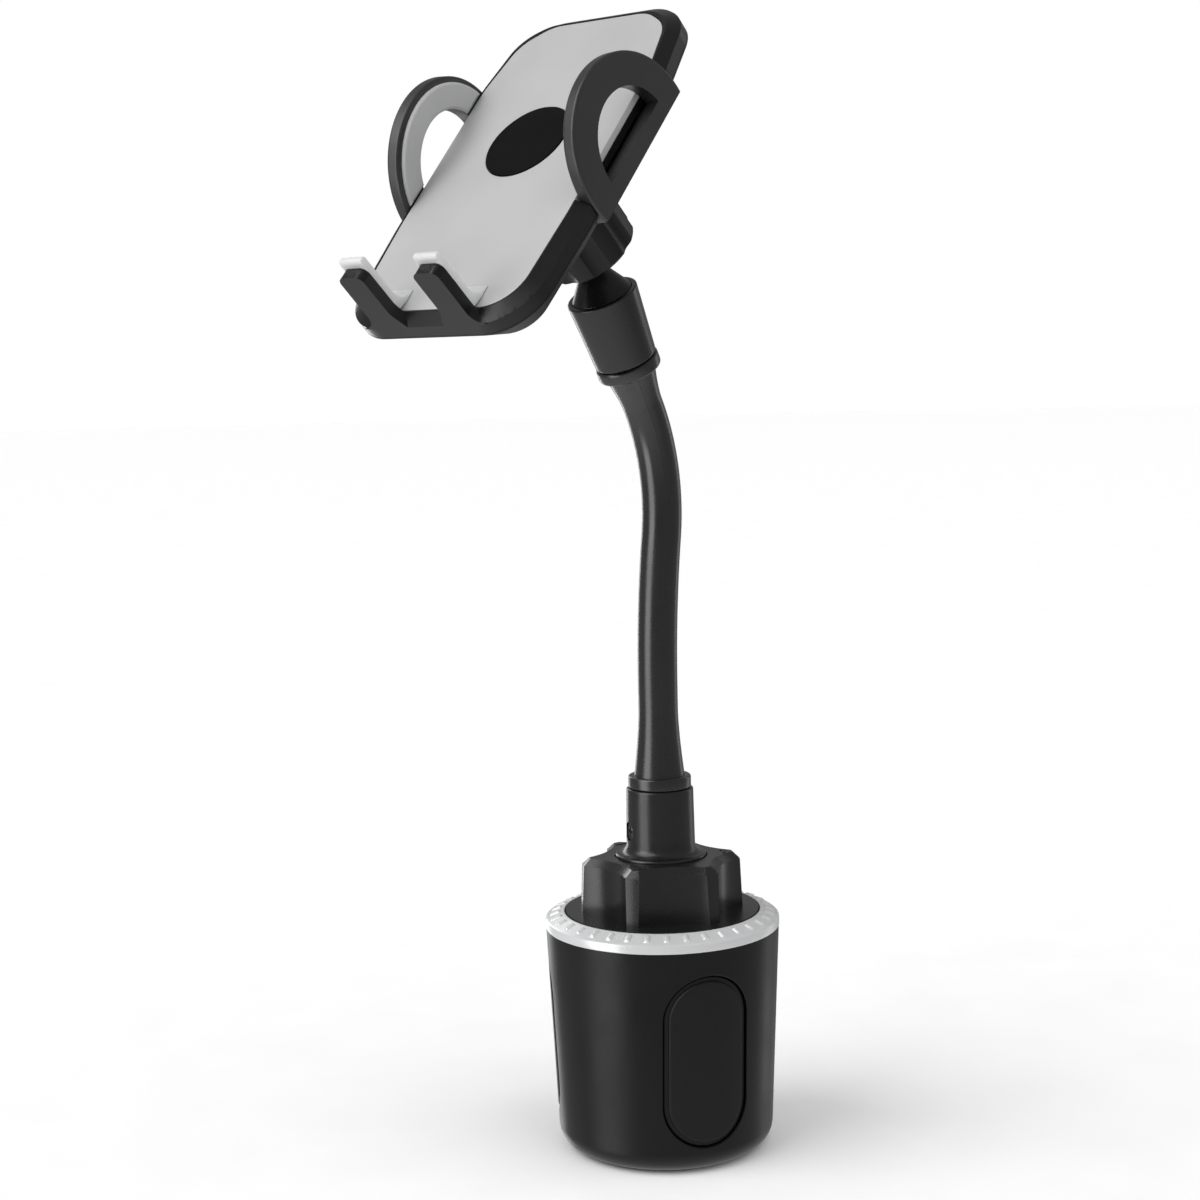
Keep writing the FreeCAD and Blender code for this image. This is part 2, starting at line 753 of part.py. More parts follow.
def make_post_bolt():
    body = new_body("post_bolt")
    sketch = new_sketch(body, "bolt_profile", "XZ_Plane")
    head_low = slip_gap / 2
    draw_outline(sketch, [
        (0, head_low), (bolt_head_radius, head_low),
        (bolt_head_radius, bolt_head_height + head_low), (bolt_radius, bolt_head_height + head_low),
        (bolt_radius, bolt_reach), (0, bolt_reach),
    ])
    add_feature(body, "Revolution", "bolt_turned", sketch)


# Knob and cam
def make_hex_knob():
    body = new_body("hex_knob")
    bore = shaft_radius + run_fit
    recess = neck_flange_radius + slip_gap
    sketch = new_sketch(body, "knob_profile", "XZ_Plane")
    draw_outline(sketch, [
        (bore, cam_top),
        (knob_hub_radius, cam_top),
        (knob_hub_radius, flange_low),
        (knob_radius - slip_gap, flange_low),
        (knob_radius, knob_base - knob_flange / 2),
        (knob_top_radius, knob_top),
        (recess, knob_top),
        (recess, recess_floor),
        (bore, recess_floor),
    ])
    add_feature(body, "Revolution", "knob_turned", sketch)
    sketch = new_sketch(body, "scoop_outline", "XY_Plane", knob_top)
    draw_circles(sketch, (knob_waist + knob_scoop_radius, 0, knob_scoop_radius))
    scoop = add_feature(body, "Pocket", "scoop", sketch, knob_height)
    sides = repeat_round(body, "sides", [scoop], knob_sides)
    on_top = at_level(knob_top)
    far_out = outside(recess + slip_gap)
    dress(body, "Chamfer", "top_bevel", sides, lambda edge: on_top(edge) and far_out(edge), knob_bevel)
    sketch = new_sketch(body, "flange_outline", "XY_Plane", flange_low)
    draw_circles(sketch, (0, 0, ring_bore - slip_gap), (0, 0, knob_hub_radius - seat_gap))
    add_feature(body, "Pad", "flange", sketch, knob_flange)
    sketch = new_sketch(body, "cam_screw_hole_outline", "XY_Plane", cam_top)
    lean = cam_screw_angle - knob_angle
    draw_circles(sketch, (cam_screw_circle * cosine(lean), cam_screw_circle * sine(lean), cam_screw_hole))
    hole = add_feature(body, "Pocket", "cam_screw_hole", sketch, cam_screw_length, True)
    repeat_round(body, "cam_screw_holes", [hole], pad_count)
    put(body, 0, 0, 0, turn=knob_angle)


def spiral_point(radius_shift, share, first_angle):
    """A point on the cam's Archimedean track, shifted across the track."""
    swing = math.radians(cam_turn.number)
    radius = cam_start.number + pad_travel.number * share
    angle = first_angle - swing * share
    climb = pad_travel.number / swing
    across = FreeCAD.Vector(radius, climb, 0).normalize() * radius_shift
    spot = FreeCAD.Vector(radius + across.x, across.y, 0)
    return FreeCAD.Rotation(FreeCAD.Vector(0, 0, 1), math.degrees(angle)).multVec(spot)


def spiral_slot(first_angle):
    """Face of one spiral slot: two curved sides of two arcs each, and round ends."""
    half = pin_radius.number + slip_gap.number / 2
    shares = (0.0, 0.25, 0.5, 0.75, 1.0)
    outer = [spiral_point(half, share, first_angle) for share in shares]
    inner = [spiral_point(-half, share, first_angle) for share in shares]
    caps = []
    for share, sign in ((0.0, 1), (1.0, -1)):
        middle = spiral_point(0, share, first_angle)
        side = spiral_point(half, share, first_angle) - middle
        caps.append(middle + FreeCAD.Vector(-side.y, side.x, 0) * sign)
    edges = [
        Part.Arc(outer[0], outer[1], outer[2]).toShape(),
        Part.Arc(outer[2], outer[3], outer[4]).toShape(),
        Part.Arc(outer[4], caps[1], inner[4]).toShape(),
        Part.Arc(inner[4], inner[3], inner[2]).toShape(),
        Part.Arc(inner[2], inner[1], inner[0]).toShape(),
        Part.Arc(inner[0], caps[0], outer[0]).toShape(),
    ]
    return Part.Face(Part.Wire(edges))


def cam_screw_spots():
    """Places of the cam screws about the axis."""
    turns = [cam_screw_angle + k * 360 / pad_count for k in range(pad_count)]
    return [(cam_screw_circle * cosine(turn), cam_screw_circle * sine(turn)) for turn in turns]


def make_cam_disc():
    disc = cylinder("cam_blank", cam_radius, cam_low, cam_top)
    low = cam_low - slip_gap
    high = cam_top + slip_gap
    holes = [cylinder("cam_bore", shaft_radius + run_fit, low, high)]
    for number, (x, y) in enumerate(cam_screw_spots()):
        holes.append(cylinder(f"cam_screw_hole_{number}", cam_screw_hole, low, high, x, y))
    through = FreeCAD.Vector(0, 0, (high - low).number)
    for number, angle in enumerate(window_angles):
        track = doc.addObject("Part::Feature", f"cam_track_{number}")
        track.Shape = spiral_slot(math.radians(angle)).extrude(through)
        put(track, 0, 0, low)
        holes.append(track)
    cut = doc.addObject("Part::Cut", "cam_disc")
    cut.Label = "cam_disc"
    cut.Base = disc
    cut.Tool = join("cam_holes", holes)
    doc.recompute()
    parts.append(cut)


def make_cam_screws():
    """Three screws, heads under the cam disc and shanks up into the knob's hub."""
    low = cam_low - cam_screw_head_height
    high = cam_top + cam_screw_length - seat_gap
    shapes = []
    for number, (x, y) in enumerate(cam_screw_spots()):
        shapes.append(cylinder(f"cam_screw_head_{number}", cam_screw_head, low, cam_low, x, y))
        shapes.append(cylinder(f"cam_screw_shank_{number}", cam_screw_radius, low, high, x, y))
    parts.append(join("cam_screws", shapes))


# Expansion pads
def make_pad_carrier(name, angle):
    body = new_body(f"pad_carrier_{name}")
    sketch = new_sketch(body, "carrier_outline", "XZ_Plane", -pad_back)
    draw_slot(sketch, pad_low, pad_high, pad_width / 2)
    add_feature(body, "Pad", "block", sketch, cup_top_radius, True)
    sketch = new_sketch(body, "carrier_trim", "XZ_Plane")
    skin = grip_thickness
    reach = cup_top_radius * 3
    draw_outline(sketch, [
        (wall_radius(0) - skin, 0), (reach, 0), (reach, cup_height),
        (wall_radius(cup_height) - skin, cup_height),
    ])
    add_feature(body, "Groove", "front_trim", sketch)
    sketch = new_sketch(body, "cam_room", "XZ_Plane")
    room = cam_radius + slip_gap
    draw_outline(sketch, [(0, bar_top), (room, bar_top), (room, cup_height), (0, cup_height)])
    add_feature(body, "Groove", "cam_relief", sketch)
    sketch = new_sketch(body, "bar_section", "XZ_Plane", -bar_inner)
    draw_outline(sketch, [
        (-(bar_width / 2), bar_low), (bar_width / 2, bar_low),
        (bar_width / 2, bar_top), (-(bar_width / 2), bar_top),
    ])
    add_feature(body, "Pad", "bar", sketch, pad_back - bar_inner + cup_wall, True)
    sketch = new_sketch(body, "pin_outline", "XY_Plane", bar_top - bar_height / 2)
    draw_circles(sketch, (0, cam_start, pin_radius))
    add_feature(body, "Pad", "pin", sketch, cam_top - bar_top + bar_height / 2 - slip_gap)
    put(body, 0, 0, 0, turn=angle - 90)


def make_pad_grip(name, angle):
    body = new_body(f"pad_grip_{name}")
    sketch = new_sketch(body, "grip_outline", "XZ_Plane", -pad_back)
    draw_slot(sketch, pad_low, pad_high, pad_width / 2)
    add_feature(body, "Pad", "block", sketch, cup_top_radius, True)
    reach = cup_top_radius * 3
    sketch = new_sketch(body, "grip_front", "XZ_Plane")
    draw_outline(sketch, [
        (wall_radius(0), 0), (reach, 0), (reach, cup_height), (wall_radius(cup_height), cup_height),
    ])
    add_feature(body, "Groove", "front_trim", sketch)
    sketch = new_sketch(body, "grip_back", "XZ_Plane")
    draw_outline(sketch, [
        (0, 0), (wall_radius(0) - grip_thickness, 0),
        (wall_radius(cup_height) - grip_thickness, cup_height), (0, cup_height),
    ])
    add_feature(body, "Groove", "back_trim", sketch)
    put(body, 0, 0, 0, turn=angle - 90)


# Gooseneck
def draw_neck_line(sketch, start_z, end_reach):
    """The gooseneck's centre line: straight, bend back, bend forward, straight."""
    drawing = Drawing(sketch)
    half_back = back_bend_angle / 2
    half_front = (back_bend_angle - neck_lean) / 2
    end_y = bend_end_y - end_reach * sine(neck_lean)
    end_z = bend_end_z + end_reach * cosine(neck_lean)
    one = flat(0, bend_one_z)
    two = flat(bend_two_y, bend_two_z)
    three = flat(bend_end_y, bend_end_z)
    long = back_bend_radius
    short = front_bend_radius
    middle_one = one + flat(long * (1 - cosine(half_back)), long * sine(half_back))
    centre = two + flat(-short * cosine(back_bend_angle), short * sine(back_bend_angle))
    middle_two = centre + flat(short * cosine(half_front), -short * sine(half_front))
    rise = drawing.add(Part.LineSegment(flat(0, start_z), one))
    bend_one = drawing.add(Part.Arc(two, middle_one, one))
    bend_two = drawing.add(Part.Arc(two, middle_two, three))
    end = drawing.add(Part.LineSegment(three, flat(end_y, end_z)))
    meet_one = drawing.end_near(bend_one, two)
    meet_two = drawing.end_near(bend_two, two)
    drawing.rule("Tangent", rise, 2, bend_one, drawing.end_near(bend_one, one))
    drawing.rule("Tangent", bend_one, meet_one, bend_two, meet_two)
    drawing.rule("Tangent", bend_two, drawing.end_near(bend_two, three), end, 1)
    drawing.fix_point(rise, 1, 0, start_z)
    drawing.fix_point(rise, 2, 0, bend_one_z)
    drawing.fix_radius(bend_one, back_bend_radius)
    drawing.fix_radius(bend_two, front_bend_radius)
    drawing.fix_point(end, 1, bend_end_y, bend_end_z)
    drawing.rule("DistanceY", -1, 1, end, 2, value=end_z)
    drawing.close()


def sweep_circle(body, kind, name, radius, start_z, end_reach):
    line = new_sketch(body, f"{name}_line", "YZ_Plane")
    draw_neck_line(line, start_z, end_reach)
    section = new_sketch(body, f"{name}_section", "XY_Plane", start_z)
    draw_circles(section, (0, 0, radius))
    doc.recompute()
    pipe = body.newObject(f"PartDesign::{kind}", name)
    pipe.Profile = section
    pipe.Spine = (line, [])
    doc.recompute()
    return pipe


def flare_corners(low_first, length):
    """Half section of a cuff and its flare, rising from the cuff or, upside down, ending in it."""
    sign = 1 if low_first else -1
    return [
        (0, 0),
        (cuff_radius, 0, cuff_height / 6),
        (cuff_radius, sign * cuff_height, cuff_height / 6),
        (flare_radius, sign * cuff_height),
        (sleeve_radius, sign * (cuff_height + length)),
        (0, sign * (cuff_height + length)),
    ]


def make_gooseneck_sleeve():
    body = new_body("gooseneck_sleeve")
    sweep_circle(body, "AdditivePipe", "hose", sleeve_radius, sleeve_start, sleeve_end)
    sketch = new_sketch(body, "low_cuff_profile", "YZ_Plane")
    bind(sketch, "AttachmentOffset.Base.y", sleeve_start)
    draw_outline(sketch, flare_corners(True, flare_length))
    add_feature(body, "Revolution", "low_cuff", sketch)
    sketch = new_sketch(body, "top_cuff_profile", "YZ_Plane")
    sketch.AttachmentOffset = FreeCAD.Placement(
        FreeCAD.Vector(collar_y.number, collar_z.number, 0),
        FreeCAD.Rotation(FreeCAD.Vector(0, 0, 1), neck_lean.number))
    bind(sketch, "AttachmentOffset.Base.x", collar_y)
    bind(sketch, "AttachmentOffset.Base.y", collar_z)
    bind(sketch, "AttachmentOffset.Rotation.Angle", neck_lean)
    draw_outline(sketch, flare_corners(False, top_flare_length))
    add_feature(body, "Revolution", "top_cuff", sketch)
    sweep_circle(body, "SubtractivePipe", "core_bore", core_radius + seat_gap,
                 sleeve_start - slip_gap, sleeve_end + slip_gap)


def make_gooseneck_core():
    body = new_body("gooseneck_core")
    sweep_circle(body, "AdditivePipe", "core", core_radius, neck_socket_floor + seat_gap,
                 sleeve_end + collar_socket - seat_gap)


def make_stem_collar():
    body = new_body("stem_collar")
    sketch = new_sketch(body, "collar_profile", "XZ_Plane")
    bore = stud_shank + seat_gap
    draw_outline(sketch, [
        (socket_radius, 0),
        (collar_low_radius, 0, cone_seat),
        (collar_top_radius, collar_length, cone_seat / 2),
        (cone_radius + seat_gap, collar_length),
        (cone_radius + seat_gap, collar_length - cone_seat),
        (bore, collar_length - cone_seat),
        (bore, collar_socket + slip_gap),
        (0, collar_socket + slip_gap),
        (0, collar_socket),
        (socket_radius, collar_socket),
    ])
    add_feature(body, "Revolution", "collar_turned", sketch)
    put(body, 0, collar_y, collar_z, tilt=neck_lean)


def make_ball_stud():
    """Ball, neck and cone turned in one piece, with a shank down into the collar."""
    cone_low = collar_length - cone_seat
    ball = doc.addObject("Part::Sphere", "stud_ball")
    bind(ball, "Radius", ball_radius)
    bind(ball, ".Placement.Base.z", stud_reach)
    cone = doc.addObject("Part::Cone", "stud_cone")
    bind(cone, "Radius1", cone_radius)
    bind(cone, "Radius2", stud_radius)
    bind(cone, "Height", cone_height)
    bind(cone, ".Placement.Base.z", collar_length)
    stud = join("ball_stud", [
        ball,
        cone,
        cylinder("stud_neck", stud_radius, cone_low, stud_reach),
        cylinder("stud_shank_pin", stud_shank, cone_low - stud_depth, collar_length),
        cylinder("stud_step", cone_radius, cone_low, collar_length),
    ])
    put(stud, 0, collar_y, collar_z, tilt=neck_lean)
    parts.append(stud)


# Holder
def put_in_head(item):
    """Place a piece drawn in the holder's own frame: X across, Y up the plate, Z out of its face."""
    put(item, 0, head_y, head_z, tilt=head_lean)


def holder_corners(grow):
    """The plate's outline, grown outwards: straight sides, a rounded crown and rounded heels."""
    side = plate_half_width + grow
    top = plate_top + grow
    bottom = plate_bottom + grow
    brow = plate_brow_width + grow * 0.5
    corner_x = side - plate_corner_inset
    corner_y = top - plate_brow_drop
    heel_x = side - plate_heel_inset
    crown = plate_top_round + grow
    heel = plate_heel_round + grow
    right = [
        (heel_x, -bottom, heel),
        (side, -plate_hip, plate_side_round),
        (side, plate_shoulder, plate_side_round),
        (corner_x, corner_y, crown),
        (brow, top, crown),
    ]
    left = [(-x, y, radius) for x, y, radius in reversed(right)]
    return right + left


def make_front_plate():
    body = new_body("front_plate")
    sketch = new_sketch(body, "plate_outline", "XY_Plane")
    draw_outline(sketch, holder_corners(Size.of(0)))
    add_feature(body, "Pad", "sheet", sketch, plate_thickness, True)
    sketch = new_sketch(body, "badge_recess_outline", "XY_Plane")
    draw_circles(sketch, (0, 0, badge_radius + seat_gap))
    add_feature(body, "Pocket", "badge_seat", sketch, badge_recess)
    put_in_head(body)


def make_badge_disc():
    body = new_body("badge_disc")
    sketch = new_sketch(body, "badge_outline", "XY_Plane", -badge_recess)
    draw_circles(sketch, (0, 0, badge_radius))
    disc = add_feature(body, "Pad", "disc", sketch, badge_thickness)
    dress(body, "Fillet", "badge_edge", disc, at_level(badge_thickness - badge_recess),
          (badge_thickness - badge_recess) * 0.8)
    put_in_head(body)


def arm_notch_corners():
    """Outline of the notch that an arm's root stands in."""
    reach = arm_radius + slip_gap
    inner = arm_inner - slip_gap
    outer = plate_half_width + rim_width * 2
    return [(inner, -reach), (outer, -reach), (outer, reach), (inner, reach)]


def make_front_bezel():
    body = new_body("front_bezel")
    sketch = new_sketch(body, "bezel_outline", "XY_Plane")
    draw_outline(sketch, holder_corners(rim_width))
    block = add_feature(body, "Pad", "block", sketch, bezel_depth, True)
    doc.recompute()
    names = [f"Edge{i + 1}" for i, edge in enumerate(block.Shape.Edges) if at_level(0)(edge)]
    bevel = body.newObject("PartDesign::Chamfer", "rim_bevel")
    bevel.Base = (block, names)
    bevel.ChamferType = "Two distances"
    bind(bevel, "Size", rim_drop)
    bind(bevel, "Size2", rim_width - rim_lip)
    doc.recompute()
    wide = [face for face in bevel.Shape.Faces if at_level(0)(face)]
    if wide[0].BoundBox.XMax > (plate_half_width + rim_width / 2).number:
        bevel.FlipDirection = True
        doc.recompute()
    sketch = new_sketch(body, "plate_seat_outline", "XY_Plane")
    draw_outline(sketch, holder_corners(seat_gap))
    add_feature(body, "Pocket", "plate_seat", sketch, plate_thickness)
    sketch = new_sketch(body, "cavity_outline", "XY_Plane", -bezel_depth)
    draw_outline(sketch, holder_corners(rim_width - bezel_wall))
    cavity = bezel_depth - plate_thickness - bezel_front_wall
    add_feature(body, "Pocket", "cavity", sketch, cavity, True)
    sketch = new_sketch(body, "arm_notch_outline", "XY_Plane")
    draw_outline(sketch, arm_notch_corners())
    cut = add_feature(body, "Pocket", "arm_notch", sketch, bezel_depth)
    mirror(body, "arm_notches", [cut], "YZ_Plane")
    sketch = new_sketch(body, "screw_boss_outline", "XY_Plane", -bezel_depth)
    draw_circles(sketch, *((x, y, screw_boss_radius) for x, y in shell_screw_spots))
    add_feature(body, "Pad", "screw_bosses", sketch, cavity + bezel_front_wall / 2)
    sketch = new_sketch(body, "screw_hole_outline", "XY_Plane", -bezel_depth)
    draw_circles(sketch, *((x, y, shell_screw_radius + seat_gap / 2) for x, y in shell_screw_spots))
    add_feature(body, "Pocket", "screw_holes", sketch, bezel_depth - plate_thickness, True)
    add_fingers(body)
    put_in_head(body)


def add_fingers(body):
    """Two hook fingers that rise from the bezel's lower end, on wide rounded roots."""
    lower_end = plate_bottom + rim_width
    inner = finger_centre - finger_width / 2
    outer = finger_centre + finger_width / 2
    low = -bezel_depth * 0.8
    sketch = new_sketch(body, "finger_outline", "XZ_Plane", lower_end)
    draw_outline(sketch, [
        (inner - finger_inner_root, low),
        (outer + finger_root, low),
        (outer + finger_root, -rim_drop),
        (outer, finger_root, finger_root_round),
        (outer, finger_rise, finger_round),
        (inner, finger_rise, finger_round),
        (inner, finger_inner_root, finger_root_round / 2),
        (inner - finger_inner_root, -rim_drop),
    ])
    finger = add_feature(body, "Pad", "finger", sketch, finger_thickness, True)
    mirror(body, "fingers", [finger], "YZ_Plane")


def make_foot_pad(name, side):
    """A soft strip up the inside of a finger, with a toe on the plate."""
    body = new_body(f"foot_pad_{name}")
    face = -(plate_bottom + rim_width - finger_thickness)
    back = face + foot_pad_thickness
    half = finger_width / 2 - slip_gap
    sketch = new_sketch(body, "strip_profile", "YZ_Plane", side * finger_centre - half)
    draw_outline(sketch, [
        (face, rim_lip),
        (face + rim_width, 0),
        (face + foot_pad_reach, 0),
        (face + foot_pad_reach, foot_pad_toe, foot_pad_toe / 3),
        (back, foot_pad_toe, foot_pad_reach - foot_pad_thickness - foot_pad_toe),
        (back, foot_pad_rise, foot_pad_thickness / 3),
        (face, foot_pad_rise, foot_pad_thickness / 3),
    ])
    add_feature(body, "Pad", "strip", sketch, half * 2)
    put_in_head(body)


def make_rear_shell():
    body = new_body("rear_shell")
    sketch = new_sketch(body, "shell_outline", "XY_Plane", -bezel_depth)
    draw_outline(sketch, holder_corners(rim_width))
    block = add_feature(body, "Pad", "block", sketch, shell_depth - bezel_depth, True)
    slope = dress(body, "Chamfer", "back_slope", block, at_level(-shell_depth), shell_round)
    dress(body, "Fillet", "back_edge", slope, at_level(-shell_depth), shell_round)
    sketch = new_sketch(body, "cavity_outline", "XY_Plane", -bezel_depth)
    draw_outline(sketch, holder_corners(rim_width - shell_round))
    add_feature(body, "Pocket", "cavity", sketch, shell_depth - bezel_depth - shell_wall)
    sketch = new_sketch(body, "arm_notch_outline", "XY_Plane", -bezel_depth)
    draw_outline(sketch, arm_notch_corners())
    cut = add_feature(body, "Pocket", "arm_notch", sketch, arm_depth + slip_gap - bezel_depth)
    mirror(body, "arm_notches", [cut], "YZ_Plane")
    sketch = new_sketch(body, "rack_slot_outline", "XY_Plane", -bezel_depth)
    slot_inner = plate_half_width - shell_round
    slot_low = rack_edge - slip_gap
    slot_high = rack_edge + rack_width + slip_gap
    draw_outline(sketch, [
        (slot_inner, slot_low), (arm_inner, slot_low), (arm_inner, slot_high), (slot_inner, slot_high),
    ])
    slot = add_feature(body, "Pocket", "rack_slot", sketch, rack_level + slip_gap - bezel_depth)
    repeat_round(body, "rack_slots", [slot], 2)
    sketch = new_sketch(body, "boss_outline", "XY_Plane", -shell_depth)
    draw_circles(sketch, (0, -ball_drop, boss_radius))
    add_feature(body, "Pad", "socket_boss", sketch, ball_depth + boss_end - shell_depth, True)
    sketch = new_sketch(body, "socket_profile", "XZ_Plane", ball_drop)
    cup = ball_radius + seat_gap
    reach = ball_depth + ball_radius * 2
    draw_ball_cut(sketch, cup, -ball_depth, -reach)
    add_feature(body, "Groove", "socket", sketch)
    for number, angle in enumerate((0, 90)):
        sketch = new_sketch(body, f"slit_outline_{number}", "XY_Plane", -(ball_depth + boss_end))
        long = boss_radius * 2
        thin = slip_gap * 2
        half_x, half_y = (long, thin) if angle == 0 else (thin, long)
        draw_outline(sketch, [
            (-half_x, -ball_drop - half_y), (half_x, -ball_drop - half_y),
            (half_x, half_y - ball_drop), (-half_x, half_y - ball_drop),
        ])
        add_feature(body, "Pocket", f"slit_{number}", sketch, ball_radius, True)
    sketch = new_sketch(body, "pinion_boss_outline", "XY_Plane", -(shell_depth - shell_wall))
    draw_circles(sketch, (0, 0, pinion_pin_radius * 2.4))
    add_feature(body, "Pad", "pinion_boss", sketch, shell_depth - shell_wall - rack_level - slip_gap)
    sketch = new_sketch(body, "pin_hole_outline", "XY_Plane", -(rack_level + slip_gap))
    draw_circles(sketch, (0, 0, pinion_pin_radius + seat_gap / 2))
    add_feature(body, "Pocket", "pin_hole", sketch, shell_depth - shell_wall - rack_level - slip_gap)
    sketch = new_sketch(body, "button_hole_outline", "XY_Plane", -shell_depth)
    draw_outline(sketch, button_corners(slip_gap))
    add_feature(body, "Pocket", "button_hole", sketch, shell_wall * 2, True)
    sketch = new_sketch(body, "screw_post_outline", "XY_Plane", -(shell_depth - shell_wall))
    draw_circles(sketch, *((x, y, screw_post_radius) for x, y in shell_screw_spots))
    add_feature(body, "Pad", "screw_posts", sketch, shell_depth - shell_wall - bezel_depth)
    sketch = new_sketch(body, "screw_hole_outline", "XY_Plane", -shell_depth)
    draw_circles(sketch, *((x, y, shell_screw_radius + seat_gap) for x, y in shell_screw_spots))
    add_feature(body, "Pocket", "screw_holes", sketch, shell_depth, True)
    sketch = new_sketch(body, "screw_head_outline", "XY_Plane", -shell_depth)
    draw_circles(sketch, *((x, y, shell_screw_head + seat_gap) for x, y in shell_screw_spots))
    add_feature(body, "Pocket", "screw_recesses", sketch, shell_wall, True)
    put_in_head(body)


def draw_ball_cut(sketch, radius, centre_y, open_y):
    """Half section of a round-bottomed socket: a quarter circle in front and straight sides behind."""
    drawing = Drawing(sketch)
    slant = radius * math.sqrt(0.5)
    top = flat(0, centre_y + radius)
    side = flat(radius, centre_y)
    low_side = flat(radius, open_y)
    low = flat(0, open_y)
    arc = drawing.add(Part.Arc(side, flat(slant, centre_y + slant), top))
    edge = drawing.add(Part.LineSegment(top, low))
    base = drawing.add(Part.LineSegment(low, low_side))
    wall = drawing.add(Part.LineSegment(low_side, side))
    for join in ((arc, 2, edge, 1), (edge, 2, base, 1), (base, 2, wall, 1), (wall, 2, arc, 1)):
        drawing.rule("Coincident", *join)
    drawing.fix_point(arc, 3, 0, centre_y)
    drawing.fix_radius(arc, radius)
    drawing.fix_point(base, 1, 0, open_y)
    drawing.rule("Horizontal", base)
    drawing.rule("Vertical", wall)
    drawing.rule("PointOnObject", arc, 2, -2)
    drawing.rule("DistanceY", -1, 1, arc, 1, value=centre_y)
    drawing.close()


def make_shell_screws():
    """Four screws from the back of the shell up into the bezel's bosses."""
    low = slip_gap - shell_depth
    seat = shell_wall - shell_depth
    high = -(plate_thickness + slip_gap)
    shapes = []
    for number, (x, y) in enumerate(shell_screw_spots):
        shapes.append(cylinder(f"shell_screw_head_{number}", shell_screw_head, low, seat, x, y))
        shapes.append(cylinder(f"shell_screw_shank_{number}", shell_screw_radius, low, high, x, y))
    screws = join("shell_screws", shapes)
    put_in_head(screws)
    parts.append(screws)


def make_lock_nut():
    body = new_body("lock_nut")
    bore = boss_radius + slip_gap
    boss_low = ball_depth + boss_end + slip_gap
    lip = ball_depth + nut_lip_reach
    seat = root(ball_radius * ball_radius - (boss_low - ball_depth) * (boss_low - ball_depth)) + slip_gap
    sketch = new_sketch(body, "nut_profile", "XZ_Plane")
    draw_outline(sketch, [
        (bore, -nut_front),
        (nut_radius, -nut_front, nut_round),
        (nut_radius, -nut_rear, nut_round),
        (nut_mouth_radius, -nut_rear),
        (nut_lip_radius, -lip),
        (seat, -boss_low),
        (bore, -boss_low),
    ])
    add_feature(body, "Revolution", "nut_turned", sketch)
    sketch = new_sketch(body, "scallop_outline", "XY_Plane", -nut_front)
    draw_circles(sketch, (nut_waist + nut_scoop_radius, 0, nut_scoop_radius))
    scallop = add_feature(body, "Pocket", "scallop", sketch, nut_rear - nut_front)
    repeat_round(body, "scallops", [scallop], nut_lobes)
    nut_y = head_y - ball_drop * cosine(head_lean)
    nut_z = head_z - ball_drop * sine(head_lean)
    put(body, 0, nut_y, nut_z, tilt=head_lean)


# Arms and their gear
flank = math.tan(math.radians(20))


def lean_sketch(body, name):
    """A sketch on an arm's inner face, which leans in over the plate as it rises."""
    sketch = new_sketch(body, name, "YZ_Plane")
    lean = FreeCAD.Rotation(FreeCAD.Vector(-1, 0, 0), arm_lean.number)
    sketch.AttachmentOffset = FreeCAD.Placement(FreeCAD.Vector(0, 0, arm_inner.number), lean)
    bind(sketch, "AttachmentOffset.Base.z", arm_inner)
    bind(sketch, "AttachmentOffset.Rotation.Angle", arm_lean)
    return sketch


def make_arm(name, side):
    """A D-shaped arm with a round-topped window, on a flat rack that slides behind the plate."""
    body = new_body(f"arm_{name}")
    sketch = lean_sketch(body, "loop_outline")
    draw_segment(sketch, -arm_centre, arm_radius, -arm_depth)
    loop = add_feature(body, "Pad", "loop", sketch, arm_thickness)
    dress(body, "Fillet", "loop_edge", loop, lambda edge: edge.Curve.TypeId == "Part::GeomCircle", arm_round)
    sketch = lean_sketch(body, "window_outline")
    draw_segment(sketch, -arm_hole_centre, arm_hole_radius, -arm_hole_floor)
    add_feature(body, "Pocket", "window", sketch, arm_thickness, True)
    inner_end = -(arm_travel + rack_module * 3)
    sketch = new_sketch(body, "rack_outline", "XY_Plane", -rack_level)
    draw_outline(sketch, [
        (inner_end, rack_edge), (arm_inner + arm_thickness / 2, rack_edge),
        (arm_inner + arm_thickness / 2, rack_edge + rack_width), (inner_end, rack_edge + rack_width),
    ])
    add_feature(body, "Pad", "rack", sketch, rack_thickness)
    top_half = tooth_pitch / 4 - tooth_rise * flank - backlash / 2
    root_half = tooth_pitch / 4 + tooth_depth * flank - backlash / 2
    middle = tooth_pitch / 2
    sketch = new_sketch(body, "rack_tooth_outline", "XY_Plane", -rack_level)
    draw_outline(sketch, [
        (middle - root_half, rack_edge + backlash), (middle - root_half, rack_edge),
        (middle - top_half, pinion_radius - tooth_rise), (middle + top_half, pinion_radius - tooth_rise),
        (middle + root_half, rack_edge), (middle + root_half, rack_edge + backlash),
    ])
    tooth = add_feature(body, "Pad", "rack_tooth", sketch, rack_thickness)
    count = int((arm_travel / tooth_pitch).number) + 2
    pattern = body.newObject("PartDesign::LinearPattern", "rack_teeth")
    pattern.Originals = [tooth]
    pattern.Direction = (origin_item(body, "X_Axis"), [""])
    pattern.Reversed = True
    bind(pattern, "Length", tooth_pitch * (count - 1))
    pattern.Occurrences = count
    body.Tip = pattern
    doc.recompute()
    turn_to_side(body, side)


